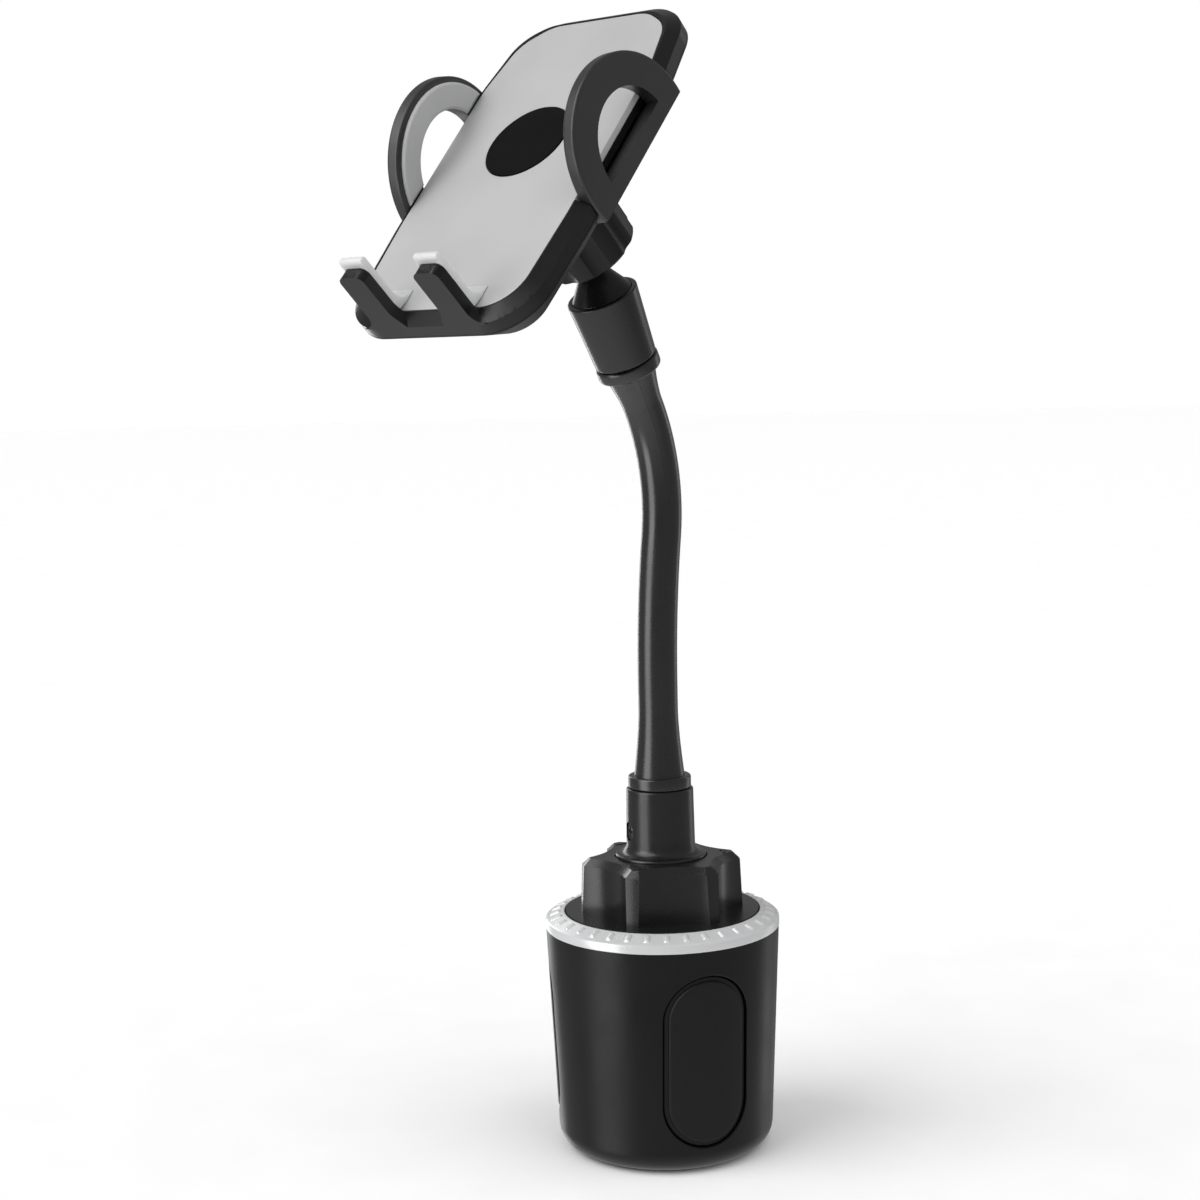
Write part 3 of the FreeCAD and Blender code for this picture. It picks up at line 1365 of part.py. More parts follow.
def turn_to_side(body, side):
    """Place an arm piece: the left arm is the right one turned half round about the plate's axis."""
    if side > 0:
        put_in_head(body)
        return
    lean = FreeCAD.Rotation(FreeCAD.Vector(1, 0, 0), head_lean.number)
    half_turn = FreeCAD.Rotation(FreeCAD.Vector(0, 0, 1), 180)
    spot = FreeCAD.Vector(0, head_y.number, head_z.number)
    body.Placement = FreeCAD.Placement(spot, lean.multiply(half_turn))
    bind(body, ".Placement.Base.y", head_y)
    bind(body, ".Placement.Base.z", head_z)


def make_arm_pad(name, side):
    """The soft face on an arm's inner side: a band that follows the loop above the plate."""
    body = new_body(f"arm_pad_{name}")
    sketch = lean_sketch(body, "band_outline")
    draw_segment(sketch, -arm_centre, arm_radius - arm_pad_inset, rim_lip)
    add_feature(body, "Pad", "band", sketch, arm_pad_proud, True)
    sketch = lean_sketch(body, "band_window")
    draw_segment(sketch, -arm_hole_centre, arm_hole_radius, -arm_hole_floor)
    add_feature(body, "Pocket", "window", sketch, arm_pad_proud)
    turn_to_side(body, side)


def make_pinion():
    """Spur gear with straight-sided teeth that narrow to the tip."""
    body = new_body("pinion")
    foot = pinion_radius - tooth_depth
    tip = pinion_radius + tooth_rise
    pitch_half = tooth_pitch / 4 - backlash / 2
    sketch = new_sketch(body, "pinion_hub_outline", "XY_Plane", -rack_level)
    draw_circles(sketch, (0, 0, foot), (0, 0, pinion_pin_radius + run_fit))
    add_feature(body, "Pad", "pinion_hub", sketch, rack_thickness)
    sketch = new_sketch(body, "pinion_tooth_outline", "XY_Plane", -rack_level)
    draw_outline(sketch, [
        (-pinion_foot_half, foot - backlash), (pinion_foot_half, foot - backlash),
        (pitch_half, pinion_radius), (pinion_tip_half, tip),
        (-pinion_tip_half, tip), (-pitch_half, pinion_radius),
    ])
    tooth = add_feature(body, "Pad", "pinion_tooth", sketch, rack_thickness)
    repeat_round(body, "pinion_teeth", [tooth], pinion_teeth)
    put_in_head(body)


def make_pinion_pin():
    body = new_body("pinion_pin")
    sketch = new_sketch(body, "pin_outline", "XY_Plane", -(shell_depth - shell_wall))
    draw_circles(sketch, (0, 0, pinion_pin_radius))
    length = shell_depth - shell_wall - plate_thickness - bezel_front_wall
    add_feature(body, "Pad", "pin", sketch, length)
    put_in_head(body)


# Release button
def button_corners(grow):
    half = button_width / 2 + grow
    low = button_centre - button_height / 2 - grow
    high = button_centre + button_height / 2 + grow
    round_off = button_height / 4 + grow
    return [
        (-half, low, round_off), (half, low, round_off),
        (half, high, round_off), (-half, high, round_off),
    ]


def make_release_button():
    body = new_body("release_button")
    sketch = new_sketch(body, "cap_outline", "XY_Plane", -(shell_depth + button_proud))
    draw_outline(sketch, button_corners(Size.of(0)))
    cap = add_feature(body, "Pad", "cap", sketch, shell_depth + button_proud - button_inner)
    outer_face = at_level(-(shell_depth + button_proud))
    dress(body, "Fillet", "cap_edge", cap, outer_face, button_proud / 3)
    sketch = new_sketch(body, "lip_outline", "XY_Plane", -(shell_depth - shell_wall - slip_gap))
    draw_outline(sketch, button_corners(button_lip))
    add_feature(body, "Pad", "lip", sketch, button_lip)
    put_in_head(body)


def make_button_spring():
    """A bent leaf between the button and the bezel's front wall."""
    body = new_body("button_spring")
    ceiling = -(plate_thickness + bezel_front_wall)
    sketch = new_sketch(body, "leaf_profile", "XZ_Plane", -(button_centre - button_height / 4))
    draw_outline(sketch, [
        (-spring_half, ceiling), (-spring_half, ceiling - spring_strip),
        (-(spring_half / 6), -button_inner), (spring_half / 6, -button_inner),
        (spring_half, ceiling - spring_strip), (spring_half, ceiling),
        (spring_half - spring_strip * 2, ceiling),
        (spring_half / 6, spring_strip - button_inner), (-(spring_half / 6), spring_strip - button_inner),
        (spring_strip * 2 - spring_half, ceiling),
    ])
    add_feature(body, "Pad", "leaf", sketch, button_height / 2, True)
    put_in_head(body)


make_cup_shell()
make_trim_ring()
make_guide_frame()
make_neck_post()
make_neck_screw()
make_post_bolt()
make_hex_knob()
make_cam_disc()
make_cam_screws()
for pad_name, pad_angle in zip(window_names, window_angles):
    make_pad_carrier(pad_name, pad_angle)
    make_pad_grip(pad_name, pad_angle)
make_gooseneck_sleeve()
make_gooseneck_core()
make_stem_collar()
make_ball_stud()
make_lock_nut()
make_front_plate()
make_badge_disc()
make_front_bezel()
make_rear_shell()
make_shell_screws()
for arm_name, arm_side in (("right", 1), ("left", -1)):
    make_foot_pad(arm_name, arm_side)
    make_arm(arm_name, arm_side)
    make_arm_pad(arm_name, arm_side)
make_pinion()
make_pinion_pin()
make_release_button()
make_button_spring()

doc.recompute()
for item in doc.Objects:
    if "Invalid" in item.State or "Error" in item.State:
        raise RuntimeError(f"{item.Label} failed: {item.State}")
for part in parts:
    if part.Shape.isNull() or not part.Shape.isValid():
        raise RuntimeError(f"{part.Label} has no sound shape")

os.makedirs("parts", exist_ok=True)
for part in parts:
    part.Shape.exportStep(f"parts/{part.Label}.step")
    print(part.Label, round(part.Shape.Volume, 1))
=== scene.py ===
import functools
import logging
import math
from collections.abc import Callable
from dataclasses import dataclass
from enum import Enum

import bmesh
import bpy
import numpy as np
from mathutils import Matrix, Vector


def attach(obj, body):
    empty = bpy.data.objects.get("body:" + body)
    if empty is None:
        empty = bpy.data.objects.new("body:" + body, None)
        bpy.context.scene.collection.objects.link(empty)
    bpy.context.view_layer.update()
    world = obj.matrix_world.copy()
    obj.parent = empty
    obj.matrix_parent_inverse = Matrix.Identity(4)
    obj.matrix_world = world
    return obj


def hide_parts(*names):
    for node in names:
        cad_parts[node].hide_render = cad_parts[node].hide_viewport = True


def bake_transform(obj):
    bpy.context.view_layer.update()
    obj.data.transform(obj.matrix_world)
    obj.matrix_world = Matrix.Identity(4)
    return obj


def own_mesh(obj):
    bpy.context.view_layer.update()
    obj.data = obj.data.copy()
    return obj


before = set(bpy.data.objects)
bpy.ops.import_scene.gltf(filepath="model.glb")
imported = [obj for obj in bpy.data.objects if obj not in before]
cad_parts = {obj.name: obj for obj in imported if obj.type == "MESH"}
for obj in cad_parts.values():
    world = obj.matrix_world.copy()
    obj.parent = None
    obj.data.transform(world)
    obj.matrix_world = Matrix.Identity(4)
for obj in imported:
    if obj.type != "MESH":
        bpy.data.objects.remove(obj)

LOG = logging.getLogger("phone_mount")
MM = 0.001
FULL_TURN = 2.0 * math.pi
QUARTER = np.linspace(0.0, math.pi / 2, 7)  # angles along a rounded edge
SIDES = {1: "right", -1: "left"}
NOISE_BAND = (0.3, 0.7)  # where most values of a noise lie
FINE_SHARE = 0.35  # how much of the fine grain shows in the colour
GRAIN_RISE = 0.3  # height of the grain as a share of its size
WELD = 2e-6  # points of a CAD mesh this close, in metres, are one
CUT_MERGE = 8e-5  # likewise where a mesh has been cut
FLAT_DEG = 0.5  # faces that turn less than this are joined
SHARP_DEG = 32.0  # edges of a CAD mesh that turn more than this are rounded or sharp
MITRE_LEAST = 0.5  # keeps the mitre of a sharp corner short
SOFT_SHARP_DEG = 50.0  # edges of a soft piece that turn more than this are sharp


# Meshes
class Edge(Enum):
    """How a side of a grid is finished."""

    OPEN = "left open"
    LOOP = "joined to the opposite side"


Patch = tuple[np.ndarray, Edge, Edge]


def grid_faces(rows: int, columns: int, wrap_rows: bool, wrap_columns: bool) -> np.ndarray:
    """Faces of a grid: each cell joins a point, its right, its diagonal and its upper neighbour.

    Args:
        rows: number of rows of points.
        columns: number of points in a row.
        wrap_rows: whether the last row is joined to the first.
        wrap_columns: whether each row's end is joined to its start.

    Returns:
        An array of four point numbers per face.
    """
    row = np.arange(rows if wrap_rows else rows - 1)[:, None]
    column = np.arange(columns if wrap_columns else columns - 1)[None, :]
    next_row = (row + 1) % rows
    next_column = (column + 1) % columns
    corners = (row * columns + column, row * columns + next_column,
               next_row * columns + next_column, next_row * columns + column)
    return np.stack([corner.ravel() for corner in corners], axis=1)


def add_object(name: str, data: bpy.types.ID) -> bpy.types.Object:
    """Puts a new object into the scene, at the origin.

    Args:
        name: the object's name.
        data: its mesh, camera or light.

    Returns:
        The object.
    """
    added = bpy.data.objects.new(name, data)
    bpy.context.scene.collection.objects.link(added)
    return added


def merge_points(mesh: bpy.types.Mesh, near: float, sliver: float = 0.0,
                 outwards: bool = False) -> None:
    """Makes one point of those that lie close together. Lengths are in metres.

    Args:
        mesh: the mesh to clean.
        near: how close the points are.
        sliver: edges and faces thinner than this are dissolved, or 0 for none.
        outwards: whether the faces are then turned outwards.
    """
    shape = bmesh.new()
    shape.from_mesh(mesh)
    bmesh.ops.remove_doubles(shape, verts=shape.verts, dist=near)
    if sliver:
        bmesh.ops.dissolve_degenerate(shape, dist=sliver, edges=shape.edges)
    if outwards:
        bmesh.ops.recalc_face_normals(shape, faces=shape.faces)
    shape.to_mesh(mesh)
    shape.free()


def make_piece(name: str, patches: list[Patch], sharp_deg: float = 40.0) -> bpy.types.Object:
    """One mesh object from several grids of points, in metres, whose meeting edges are merged.

    Args:
        name: the piece's name.
        patches: grids of shape (rows, columns, 3), each with how its rows and its columns close.
        sharp_deg: edges that turn more than this stay sharp.

    Returns:
        The new object, at the origin, with faces that point outwards.
    """
    points, faces, start = [], [], 0
    for grid, rows_edge, columns_edge in patches:
        rows, columns = grid.shape[:2]
        wraps = rows_edge is Edge.LOOP, columns_edge is Edge.LOOP
        points.append(grid.reshape(-1, 3))
        faces.append(grid_faces(rows, columns, *wraps) + start)
        start += rows * columns
    mesh = bpy.data.meshes.new(name)
    mesh.from_pydata(np.concatenate(points), [], np.concatenate(faces).tolist())
    merge_points(mesh, near=1e-6, sliver=1e-7, outwards=True)
    mesh.polygons.foreach_set("use_smooth", np.ones(len(mesh.polygons), bool))
    mesh.set_sharp_from_angle(angle=math.radians(sharp_deg))
    return add_object(name, mesh)


def resample(points: np.ndarray, count: int) -> np.ndarray:
    """Points at even lengths on a polyline: each coordinate is read at even shares of its run.

    Args:
        points: the polyline's points, (n, 2).
        count: how many points to return.

    Returns:
        The even points, (count, 2), with both ends kept.
    """
    run = np.concatenate([[0.0], np.cumsum(np.linalg.norm(np.diff(points, axis=0), axis=1))])
    even = np.linspace(0.0, run[-1], count)
    return np.stack([np.interp(even, run, points[:, axis]) for axis in (0, 1)], axis=1)


def arc(centre: tuple[float, float], radius: float, start_deg: float, end_deg: float,
        count: int = 12) -> np.ndarray:
    """Points on a circle's arc: the centre plus the radius times (cos a, sin a).

    Args:
        centre: the circle's centre.
        radius: its radius.
        start_deg: angle of the first point.
        end_deg: angle of the last point.
        count: number of points.

    Returns:
        The points, (count, 2).
    """
    angle = np.radians(np.linspace(start_deg, end_deg, count))
    return np.asarray(centre) + radius * np.stack([np.cos(angle), np.sin(angle)], axis=1)


def around(count: int) -> np.ndarray:
    """Even angles over a full turn, without the last, which is the first again."""
    return np.linspace(0.0, FULL_TURN, count, endpoint=False)


def polar(radius: np.ndarray, turn: np.ndarray, height: np.ndarray | float) -> np.ndarray:
    """Points about the Z axis: (radius cos turn, radius sin turn, height)."""
    parts = np.broadcast_arrays(radius * np.cos(turn), radius * np.sin(turn), height)
    return np.stack(parts, axis=-1)


def ribbon(name: str, curves: tuple[np.ndarray, np.ndarray], span: tuple[float, float],
           rounds: tuple[float, float],
           put: Callable[[np.ndarray], np.ndarray]) -> bpy.types.Object:
    """A band between two curves, carried straight across, with rounded rims.

    Each row is the loop of both curves at one station across. At a rim the loop draws in along
    its own normals by e (1 - cos a) while the station moves by e sin a, which rounds the edge.

    Args:
        name: the piece's name.
        curves: the band's two sides, each as (n, 2) points.
        span: the first and the last station across.
        rounds: rounding at the first and at the last station.
        put: gives the placed points, in metres, from points (across, p, q).

    Returns:
        The closed band.
    """
    first, second = curves
    (low, high), (round_low, round_high) = span, rounds
    sine, cosine = np.sin(QUARTER), np.cos(QUARTER)
    stations = np.concatenate([low + round_low * (1.0 - sine[::-1]),
                               high - round_high * (1.0 - sine)])
    inset = np.concatenate([round_low * (1.0 - cosine[::-1]), round_high * (1.0 - cosine)])
    loop = np.concatenate([first, second[::-1]])
    after = np.roll(loop, -1, axis=0)
    ahead = after - loop
    ahead = ahead / np.linalg.norm(ahead, axis=1, keepdims=True)
    left = np.stack([-ahead[:, 1], ahead[:, 0]], axis=1)
    both = left + np.roll(left, 1, axis=0)
    mitre = both / np.maximum(np.sum(both * both, axis=1, keepdims=True) / 2.0, MITRE_LEAST)
    turned = np.sum(loop[:, 0] * after[:, 1] - loop[:, 1] * after[:, 0])
    drawn = loop[None] + inset[:, None, None] * (mitre * np.sign(turned))[None]
    across = np.broadcast_to(stations[:, None, None], (*drawn.shape[:2], 1))
    loops = np.concatenate([across, drawn], axis=2)
    count = len(first)
    patches = [(put(loops), Edge.OPEN, Edge.LOOP)]
    for row in (0, -1):
        cap = np.stack([loops[row, :count], loops[row, count:][::-1]])
        patches.append((put(cap), Edge.OPEN, Edge.OPEN))
    return make_piece(name, patches, SOFT_SHARP_DEG)


# Finishes
def set_inputs(node: bpy.types.Node, values: dict[str, float | tuple[float, ...]]) -> None:
    """Sets the inputs of a node, each by its name."""
    for name, value in values.items():
        node.inputs[name].default_value = value


@dataclass(frozen=True)
class Finish:
    """A procedural finish: a colour that drifts, a fine grain, and a roughness that follows both.

    Lengths of the patterns are in millimetres.
    """

    name: str
    colour: tuple[float, float, float]
    roughness: float = 0.5
    metallic: float = 0.0
    drift: float = 0.12
    drift_size: float = 28.0
    grain_size: float = 0.45
    grain_depth: float = 0.10
    roughness_swing: float = 0.06
    specular: float = 0.5
    coat: float = 0.0
    sheen: float = 0.0
    subsurface: float = 0.0
    transmission: float = 0.0

    @functools.cache
    def make(self) -> bpy.types.Material:
        """Builds the node tree, once for each finish.

        Returns:
            The material.
        """
        material = bpy.data.materials.new(self.name)
        material.use_nodes = True
        nodes = material.node_tree.nodes
        links = material.node_tree.links
        shader = nodes["Principled BSDF"]
        place = nodes.new("ShaderNodeTexCoord").outputs["Object"]

        def noise(size: float, detail: float) -> bpy.types.NodeSocket:
            """A noise on the object's own coordinates, with features of about the size given."""
            node = nodes.new("ShaderNodeTexNoise")
            set_inputs(node, {"Scale": 1.0 / (size * MM), "Detail": detail})
            links.new(place, node.inputs["Vector"])
            return node.outputs["Fac"]

        slow = noise(self.drift_size, detail=3.0)
        fine = noise(self.grain_size, detail=2.0)
        tint = nodes.new("ShaderNodeValToRGB")
        low, high = tint.color_ramp.elements
        low.position, high.position = NOISE_BAND
        low.color = (*(c * (1.0 - self.drift) for c in self.colour), 1.0)
        high.color = (*(min(1.0, c * (1.0 + self.drift)) for c in self.colour), 1.0)
        both = nodes.new("ShaderNodeMath")
        both.operation = "MULTIPLY_ADD"
        both.inputs[1].default_value = FINE_SHARE
        links.new(fine, both.inputs[0])
        links.new(slow, both.inputs[2])
        shift = nodes.new("ShaderNodeMath")
        shift.operation = "SUBTRACT"
        shift.inputs[1].default_value = FINE_SHARE / 2.0
        links.new(both.outputs[0], shift.inputs[0])
        links.new(shift.outputs[0], tint.inputs["Fac"])
        links.new(tint.outputs["Color"], shader.inputs["Base Color"])
        rough = nodes.new("ShaderNodeMapRange")
        set_inputs(rough, {"From Min": NOISE_BAND[0], "From Max": NOISE_BAND[1],
                           "To Min": self.roughness - self.roughness_swing,
                           "To Max": self.roughness + self.roughness_swing})
        links.new(shift.outputs[0], rough.inputs["Value"])
        links.new(rough.outputs["Result"], shader.inputs["Roughness"])
        bump = nodes.new("ShaderNodeBump")
        set_inputs(bump, {"Strength": self.grain_depth,
                          "Distance": self.grain_size * MM * GRAIN_RISE})
        links.new(fine, bump.inputs["Height"])
        links.new(bump.outputs["Normal"], shader.inputs["Normal"])
        set_inputs(shader, {"Metallic": self.metallic, "Specular IOR Level": self.specular,
                            "Coat Weight": self.coat, "Coat Roughness": 0.25,
                            "Sheen Weight": self.sheen, "Sheen Roughness": 0.5,
                            "Subsurface Weight": self.subsurface, "Subsurface Scale": 0.003,
                            "Subsurface Radius": (1.0, 0.95, 0.9),
                            "Transmission Weight": self.transmission})
        return material


BLACK_PLASTIC = Finish("black_moulded_plastic", (0.0045, 0.0045, 0.0048), roughness=0.38,
                       grain_depth=0.14, specular=0.27)
BLACK_SATIN = Finish("black_satin_plastic", (0.005, 0.005, 0.0053), roughness=0.30,
                     grain_depth=0.06, specular=0.34)
ARM_PLASTIC = Finish("arm_plastic", (0.017, 0.017, 0.0175), roughness=0.38,
                     grain_depth=0.12, specular=0.6)
KNOB_PLASTIC = Finish("knob_plastic", (0.007, 0.007, 0.0073), roughness=0.28,
                      grain_depth=0.10, specular=0.55)
SLEEVE_RUBBER = Finish("sleeve_rubber", (0.005, 0.005, 0.0053), roughness=0.27,
                       grain_depth=0.08, specular=0.8, sheen=0.02)
PAD_RUBBER = Finish("grip_rubber", (0.005, 0.005, 0.0053), roughness=0.50, grain_size=0.6,
                    grain_depth=0.2, specular=0.30)
SILVER_COAT = Finish("silver_coat", (0.64, 0.645, 0.65), roughness=0.30, metallic=0.35,
                     drift=0.04, grain_size=0.25, grain_depth=0.05)
GREY_PAINT = Finish("silver_grey_paint", (0.42, 0.42, 0.422), roughness=0.42, metallic=0.15,
                    drift=0.03, grain_size=0.22, grain_depth=0.05, coat=0.1)
BADGE_BLACK = Finish("badge_black", (0.003, 0.003, 0.0032), roughness=0.45,
                     grain_depth=0.05, specular=0.06)
GREY_SOFT = Finish("grey_soft_pad", (0.40, 0.402, 0.406), roughness=0.58, drift=0.05,
                   grain_depth=0.15, sheen=0.06)
SILICONE = Finish("clear_silicone", (0.70, 0.705, 0.705), roughness=0.38, drift=0.03,
                  grain_depth=0.06, subsurface=0.5, transmission=0.25)
STEEL = Finish("plated_steel", (0.52, 0.52, 0.53), roughness=0.32, metallic=1.0, drift=0.06)
DARK_STEEL = Finish("blackened_steel", (0.05, 0.05, 0.052), roughness=0.36, metallic=0.7,
                    drift=0.08)
NYLON = Finish("natural_nylon", (0.70, 0.69, 0.65), roughness=0.5, drift=0.04, subsurface=0.1)
PAPER = Finish("studio_paper", (0.97, 0.97, 0.97), roughness=0.8, drift=0.01, grain_depth=0.02)


def paint(piece: bpy.types.Object, finish: Finish) -> None:
    """Makes a finish the only material of a piece."""
    piece.data.materials.clear()
    piece.data.materials.append(finish.make())


def dress(piece: bpy.types.Object, finish: Finish, bevel_mm: float) -> None:
    """Gives a faceted piece its finish: doubles welded, flats joined, sharp edges rounded.

    Args:
        piece: the object to dress.
        finish: what it is painted with.
        bevel_mm: width of the rounding along sharp edges, or 0 for none.
    """
    paint(piece, finish)
    piece.data.polygons.foreach_set("use_smooth", np.ones(len(piece.data.polygons), bool))
    piece.modifiers.new("weld", "WELD").merge_threshold = WELD
    if bevel_mm:
        flats = piece.modifiers.new("flats", "DECIMATE")
        flats.decimate_type = "DISSOLVE"
        flats.angle_limit = math.radians(FLAT_DEG)
        edges = piece.modifiers.new("edges", "BEVEL")
        edges.limit_method = "ANGLE"
        edges.angle_limit = math.radians(SHARP_DEG)
        edges.width = bevel_mm * MM
        edges.segments = 2
        edges.use_clamp_overlap = True
    piece.modifiers.new("split", "EDGE_SPLIT").split_angle = math.radians(SHARP_DEG)
    if bevel_mm:
        piece.modifiers.new("even", "WEIGHTED_NORMAL").keep_sharp = True


def dress_nodes(finishes: dict[str, tuple[Finish, float]]) -> None:
    """Gives CAD nodes their finishes and soft edges.

    Args:
        finishes: each node's finish, and the width of its edges' rounding in millimetres.
    """
    for node, (finish, bevel_mm) in finishes.items():
        dress(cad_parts[node], finish, bevel_mm)
        LOG.info("dressed %s", node)


def stand_in(piece: bpy.types.Object, node: str) -> None:
    """Puts a piece in the place of a CAD node.

    Args:
        piece: the new piece.
        node: the node that it replaces.
    """
    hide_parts(node)
    LOG.info("made %s", piece.name)


# Sub-assemblies
@dataclass
class Gooseneck:
    """The bent neck: a rubber sleeve over a wound metal core, both along one centre line.

    The centre line lies in the plane X = 0: a straight rise, a long bend back, a tighter bend
    forward and a straight end. Angles of the seam are in radians.
    """

    start: float = 104.9
    rise: float = 30.5
    back_radius: float = 300.0
    back_deg: float = 8.0
    front_radius: float = 60.0
    lean_deg: float = 29.3
    end: float = 15.0
    radius: float = 5.7
    bore: float = 4.12
    cuff_radius: float = 9.1
    cuff_height: float = 3.6
    cuff_round: float = 0.6
    flare_radius: float = 7.3
    flare_power: float = 1.5
    low_flare: float = 19.0
    top_flare: float = 10.5
    hose_rows: int = 320
    hose_columns: int = 72
    bore_rows: int = 60
    core_radius: float = 4.0
    core_pitch: float = 2.2
    core_ripple: float = 0.14
    core_low: float = 16.78
    core_high: float = 8.88
    core_rows: int = 760
    core_columns: int = 40
    seam_deg: float = -40.0
    seam_proud: float = 0.09
    seam_width: float = 0.025
    seam_reach: float = 0.06
    seam_inset: float = 1.0
    seam_columns: int = 9

    def line(self, s: np.ndarray) -> tuple[np.ndarray, np.ndarray]:
        """Points and headings of the centre line at lengths s from the sleeve's foot.

        A point is the sum of a straight rise, two arcs and a straight end: an arc of radius R
        from heading g to h adds R (cos h - cos g) along Y and R (sin h - sin g) along Z.

        Args:
            s: lengths along the line, in millimetres, which may run past both ends.

        Returns:
            The points (n, 3), and the headings as angles from +Z towards -Y, in radians.
        """
        back, lean = math.radians(self.back_deg), math.radians(self.lean_deg)
        two = self.rise + self.back_radius * back
        three = two + self.front_radius * (back + lean)
        first = np.clip((s - self.rise) / self.back_radius, 0.0, back)
        second = np.clip((s - two) / self.front_radius, 0.0, back + lean)
        past = np.maximum(s - three, 0.0)
        y = self.back_radius * (1.0 - np.cos(first))
        y = y + self.front_radius * (np.cos(second - back) - math.cos(back))
        z = np.minimum(s, self.rise) + self.back_radius * np.sin(first)
        z = z + self.front_radius * (np.sin(second - back) + math.sin(back))
        y = y - past * math.sin(lean)
        z = z + past * math.cos(lean) + self.start
        return np.stack([np.zeros_like(s), y, z], axis=-1), second - first

    def length(self) -> float:
        """Length of the centre line under the sleeve."""
        back, lean = math.radians(self.back_deg), math.radians(self.lean_deg)
        bends = self.rise + self.back_radius * back + self.front_radius * (back + lean)
        return bends + self.end

    def tube(self, s: np.ndarray, radius: np.ndarray, turn: np.ndarray) -> np.ndarray:
        """A tube: each point is the line's point plus radius times (cos a X + sin a N).

        N is the line's own normal in the plane X = 0.

        Args:
            s: lengths along the line, one per row.
            radius: radii, one per row or one per point.
            turn: angles round the line, one per column.

        Returns:
            The grid of points in metres.
        """
        centre, heading = self.line(s)
        side = np.array([1.0, 0.0, 0.0])
        normal = np.stack([np.zeros_like(heading), np.cos(heading), np.sin(heading)], axis=-1)
        cosine, sine = np.cos(turn)[None, :, None], np.sin(turn)[None, :, None]
        reach = radius[:, None] if radius.ndim == 1 else radius
        out = cosine * side + sine * normal[:, None, :]
        return (centre[:, None, :] + reach[..., None] * out) * MM

    def sleeve(self) -> bpy.types.Object:
        """The sleeve: the profile from bore to cuff, flare, hose, flare and cuff, along the line.

        Returns:
            The closed sleeve with a fine mould seam along it.
        """
        total = self.length()
        low, high = self.cuff_height, total - self.cuff_height
        corner = np.linspace(0.0, math.pi / 2, 6)
        ease = self.cuff_round
        low_s = np.concatenate([ease * (1.0 - np.sin(corner[::-1])),
                                self.cuff_height - ease + ease * np.sin(corner)])
        low_r = np.concatenate([self.cuff_radius - ease * (1.0 - np.cos(corner[::-1])),
                                self.cuff_radius - ease * (1.0 - np.cos(corner))])
        hose = np.linspace(low, high, self.hose_rows)
        swell = self.flare_radius - self.radius
        up = 1.0 - np.clip((hose - low) / self.low_flare, 0.0, 1.0)
        down = 1.0 - np.clip((high - hose) / self.top_flare, 0.0, 1.0)
        hose_r = self.radius + swell * (up ** self.flare_power + down ** self.flare_power)
        s = np.concatenate([[0.0], low_s, hose, total - low_s[::-1], [total],
                            np.linspace(total, 0.0, self.bore_rows)])
        r = np.concatenate([[self.bore], low_r, hose_r, low_r[::-1], [self.bore],
                            np.full(self.bore_rows, self.bore)])
        seam = math.radians(self.seam_deg)
        close = seam + np.linspace(-self.seam_reach, self.seam_reach, self.seam_columns)
        turn = np.sort(np.concatenate([around(self.hose_columns), close % FULL_TURN]))
        away = (turn - seam + math.pi) % FULL_TURN - math.pi
        inset = self.seam_inset
        on_hose = (s > low + inset) & (s < high - inset) & (r > self.bore + inset / 2.0)
        ridge = self.seam_proud * np.exp(-((away / self.seam_width) ** 2))
        radius = r[:, None] + on_hose[:, None] * ridge[None, :]
        grid = self.tube(s, radius, turn)
        return make_piece("gooseneck_sleeve_rubber", [(grid, Edge.OPEN, Edge.LOOP)])

    def core(self) -> bpy.types.Object:
        """The metal core: a tube whose radius rises and falls once per pitch, with closed ends.

        Returns:
            The core, from the neck post's socket to the collar's.
        """
        s = np.linspace(-self.core_low, self.length() + self.core_high, self.core_rows)
        ripple = self.core_ripple * (1.0 - np.cos(FULL_TURN * s / self.core_pitch))
        s = np.concatenate([s[:1], s, s[-1:]])
        r = np.concatenate([[0.0], self.core_radius - ripple, [0.0]])
        grid = self.tube(s, r, around(self.core_columns))
        return make_piece("gooseneck_core_hose", [(grid, Edge.OPEN, Edge.LOOP)])

    def build(self) -> None:
        """Makes the sleeve and the core, which run between the base and the collar, and puts them
        in the place of the CAD nodes.
        """
        for piece, node, finish, slot in (
                (self.sleeve(), "gooseneck_sleeve", SLEEVE_RUBBER, "black_rubber"),
                (self.core(), "gooseneck_core", STEEL, "steel")):
            paint(piece, finish)
            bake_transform(piece)
            stand_in(piece, node)


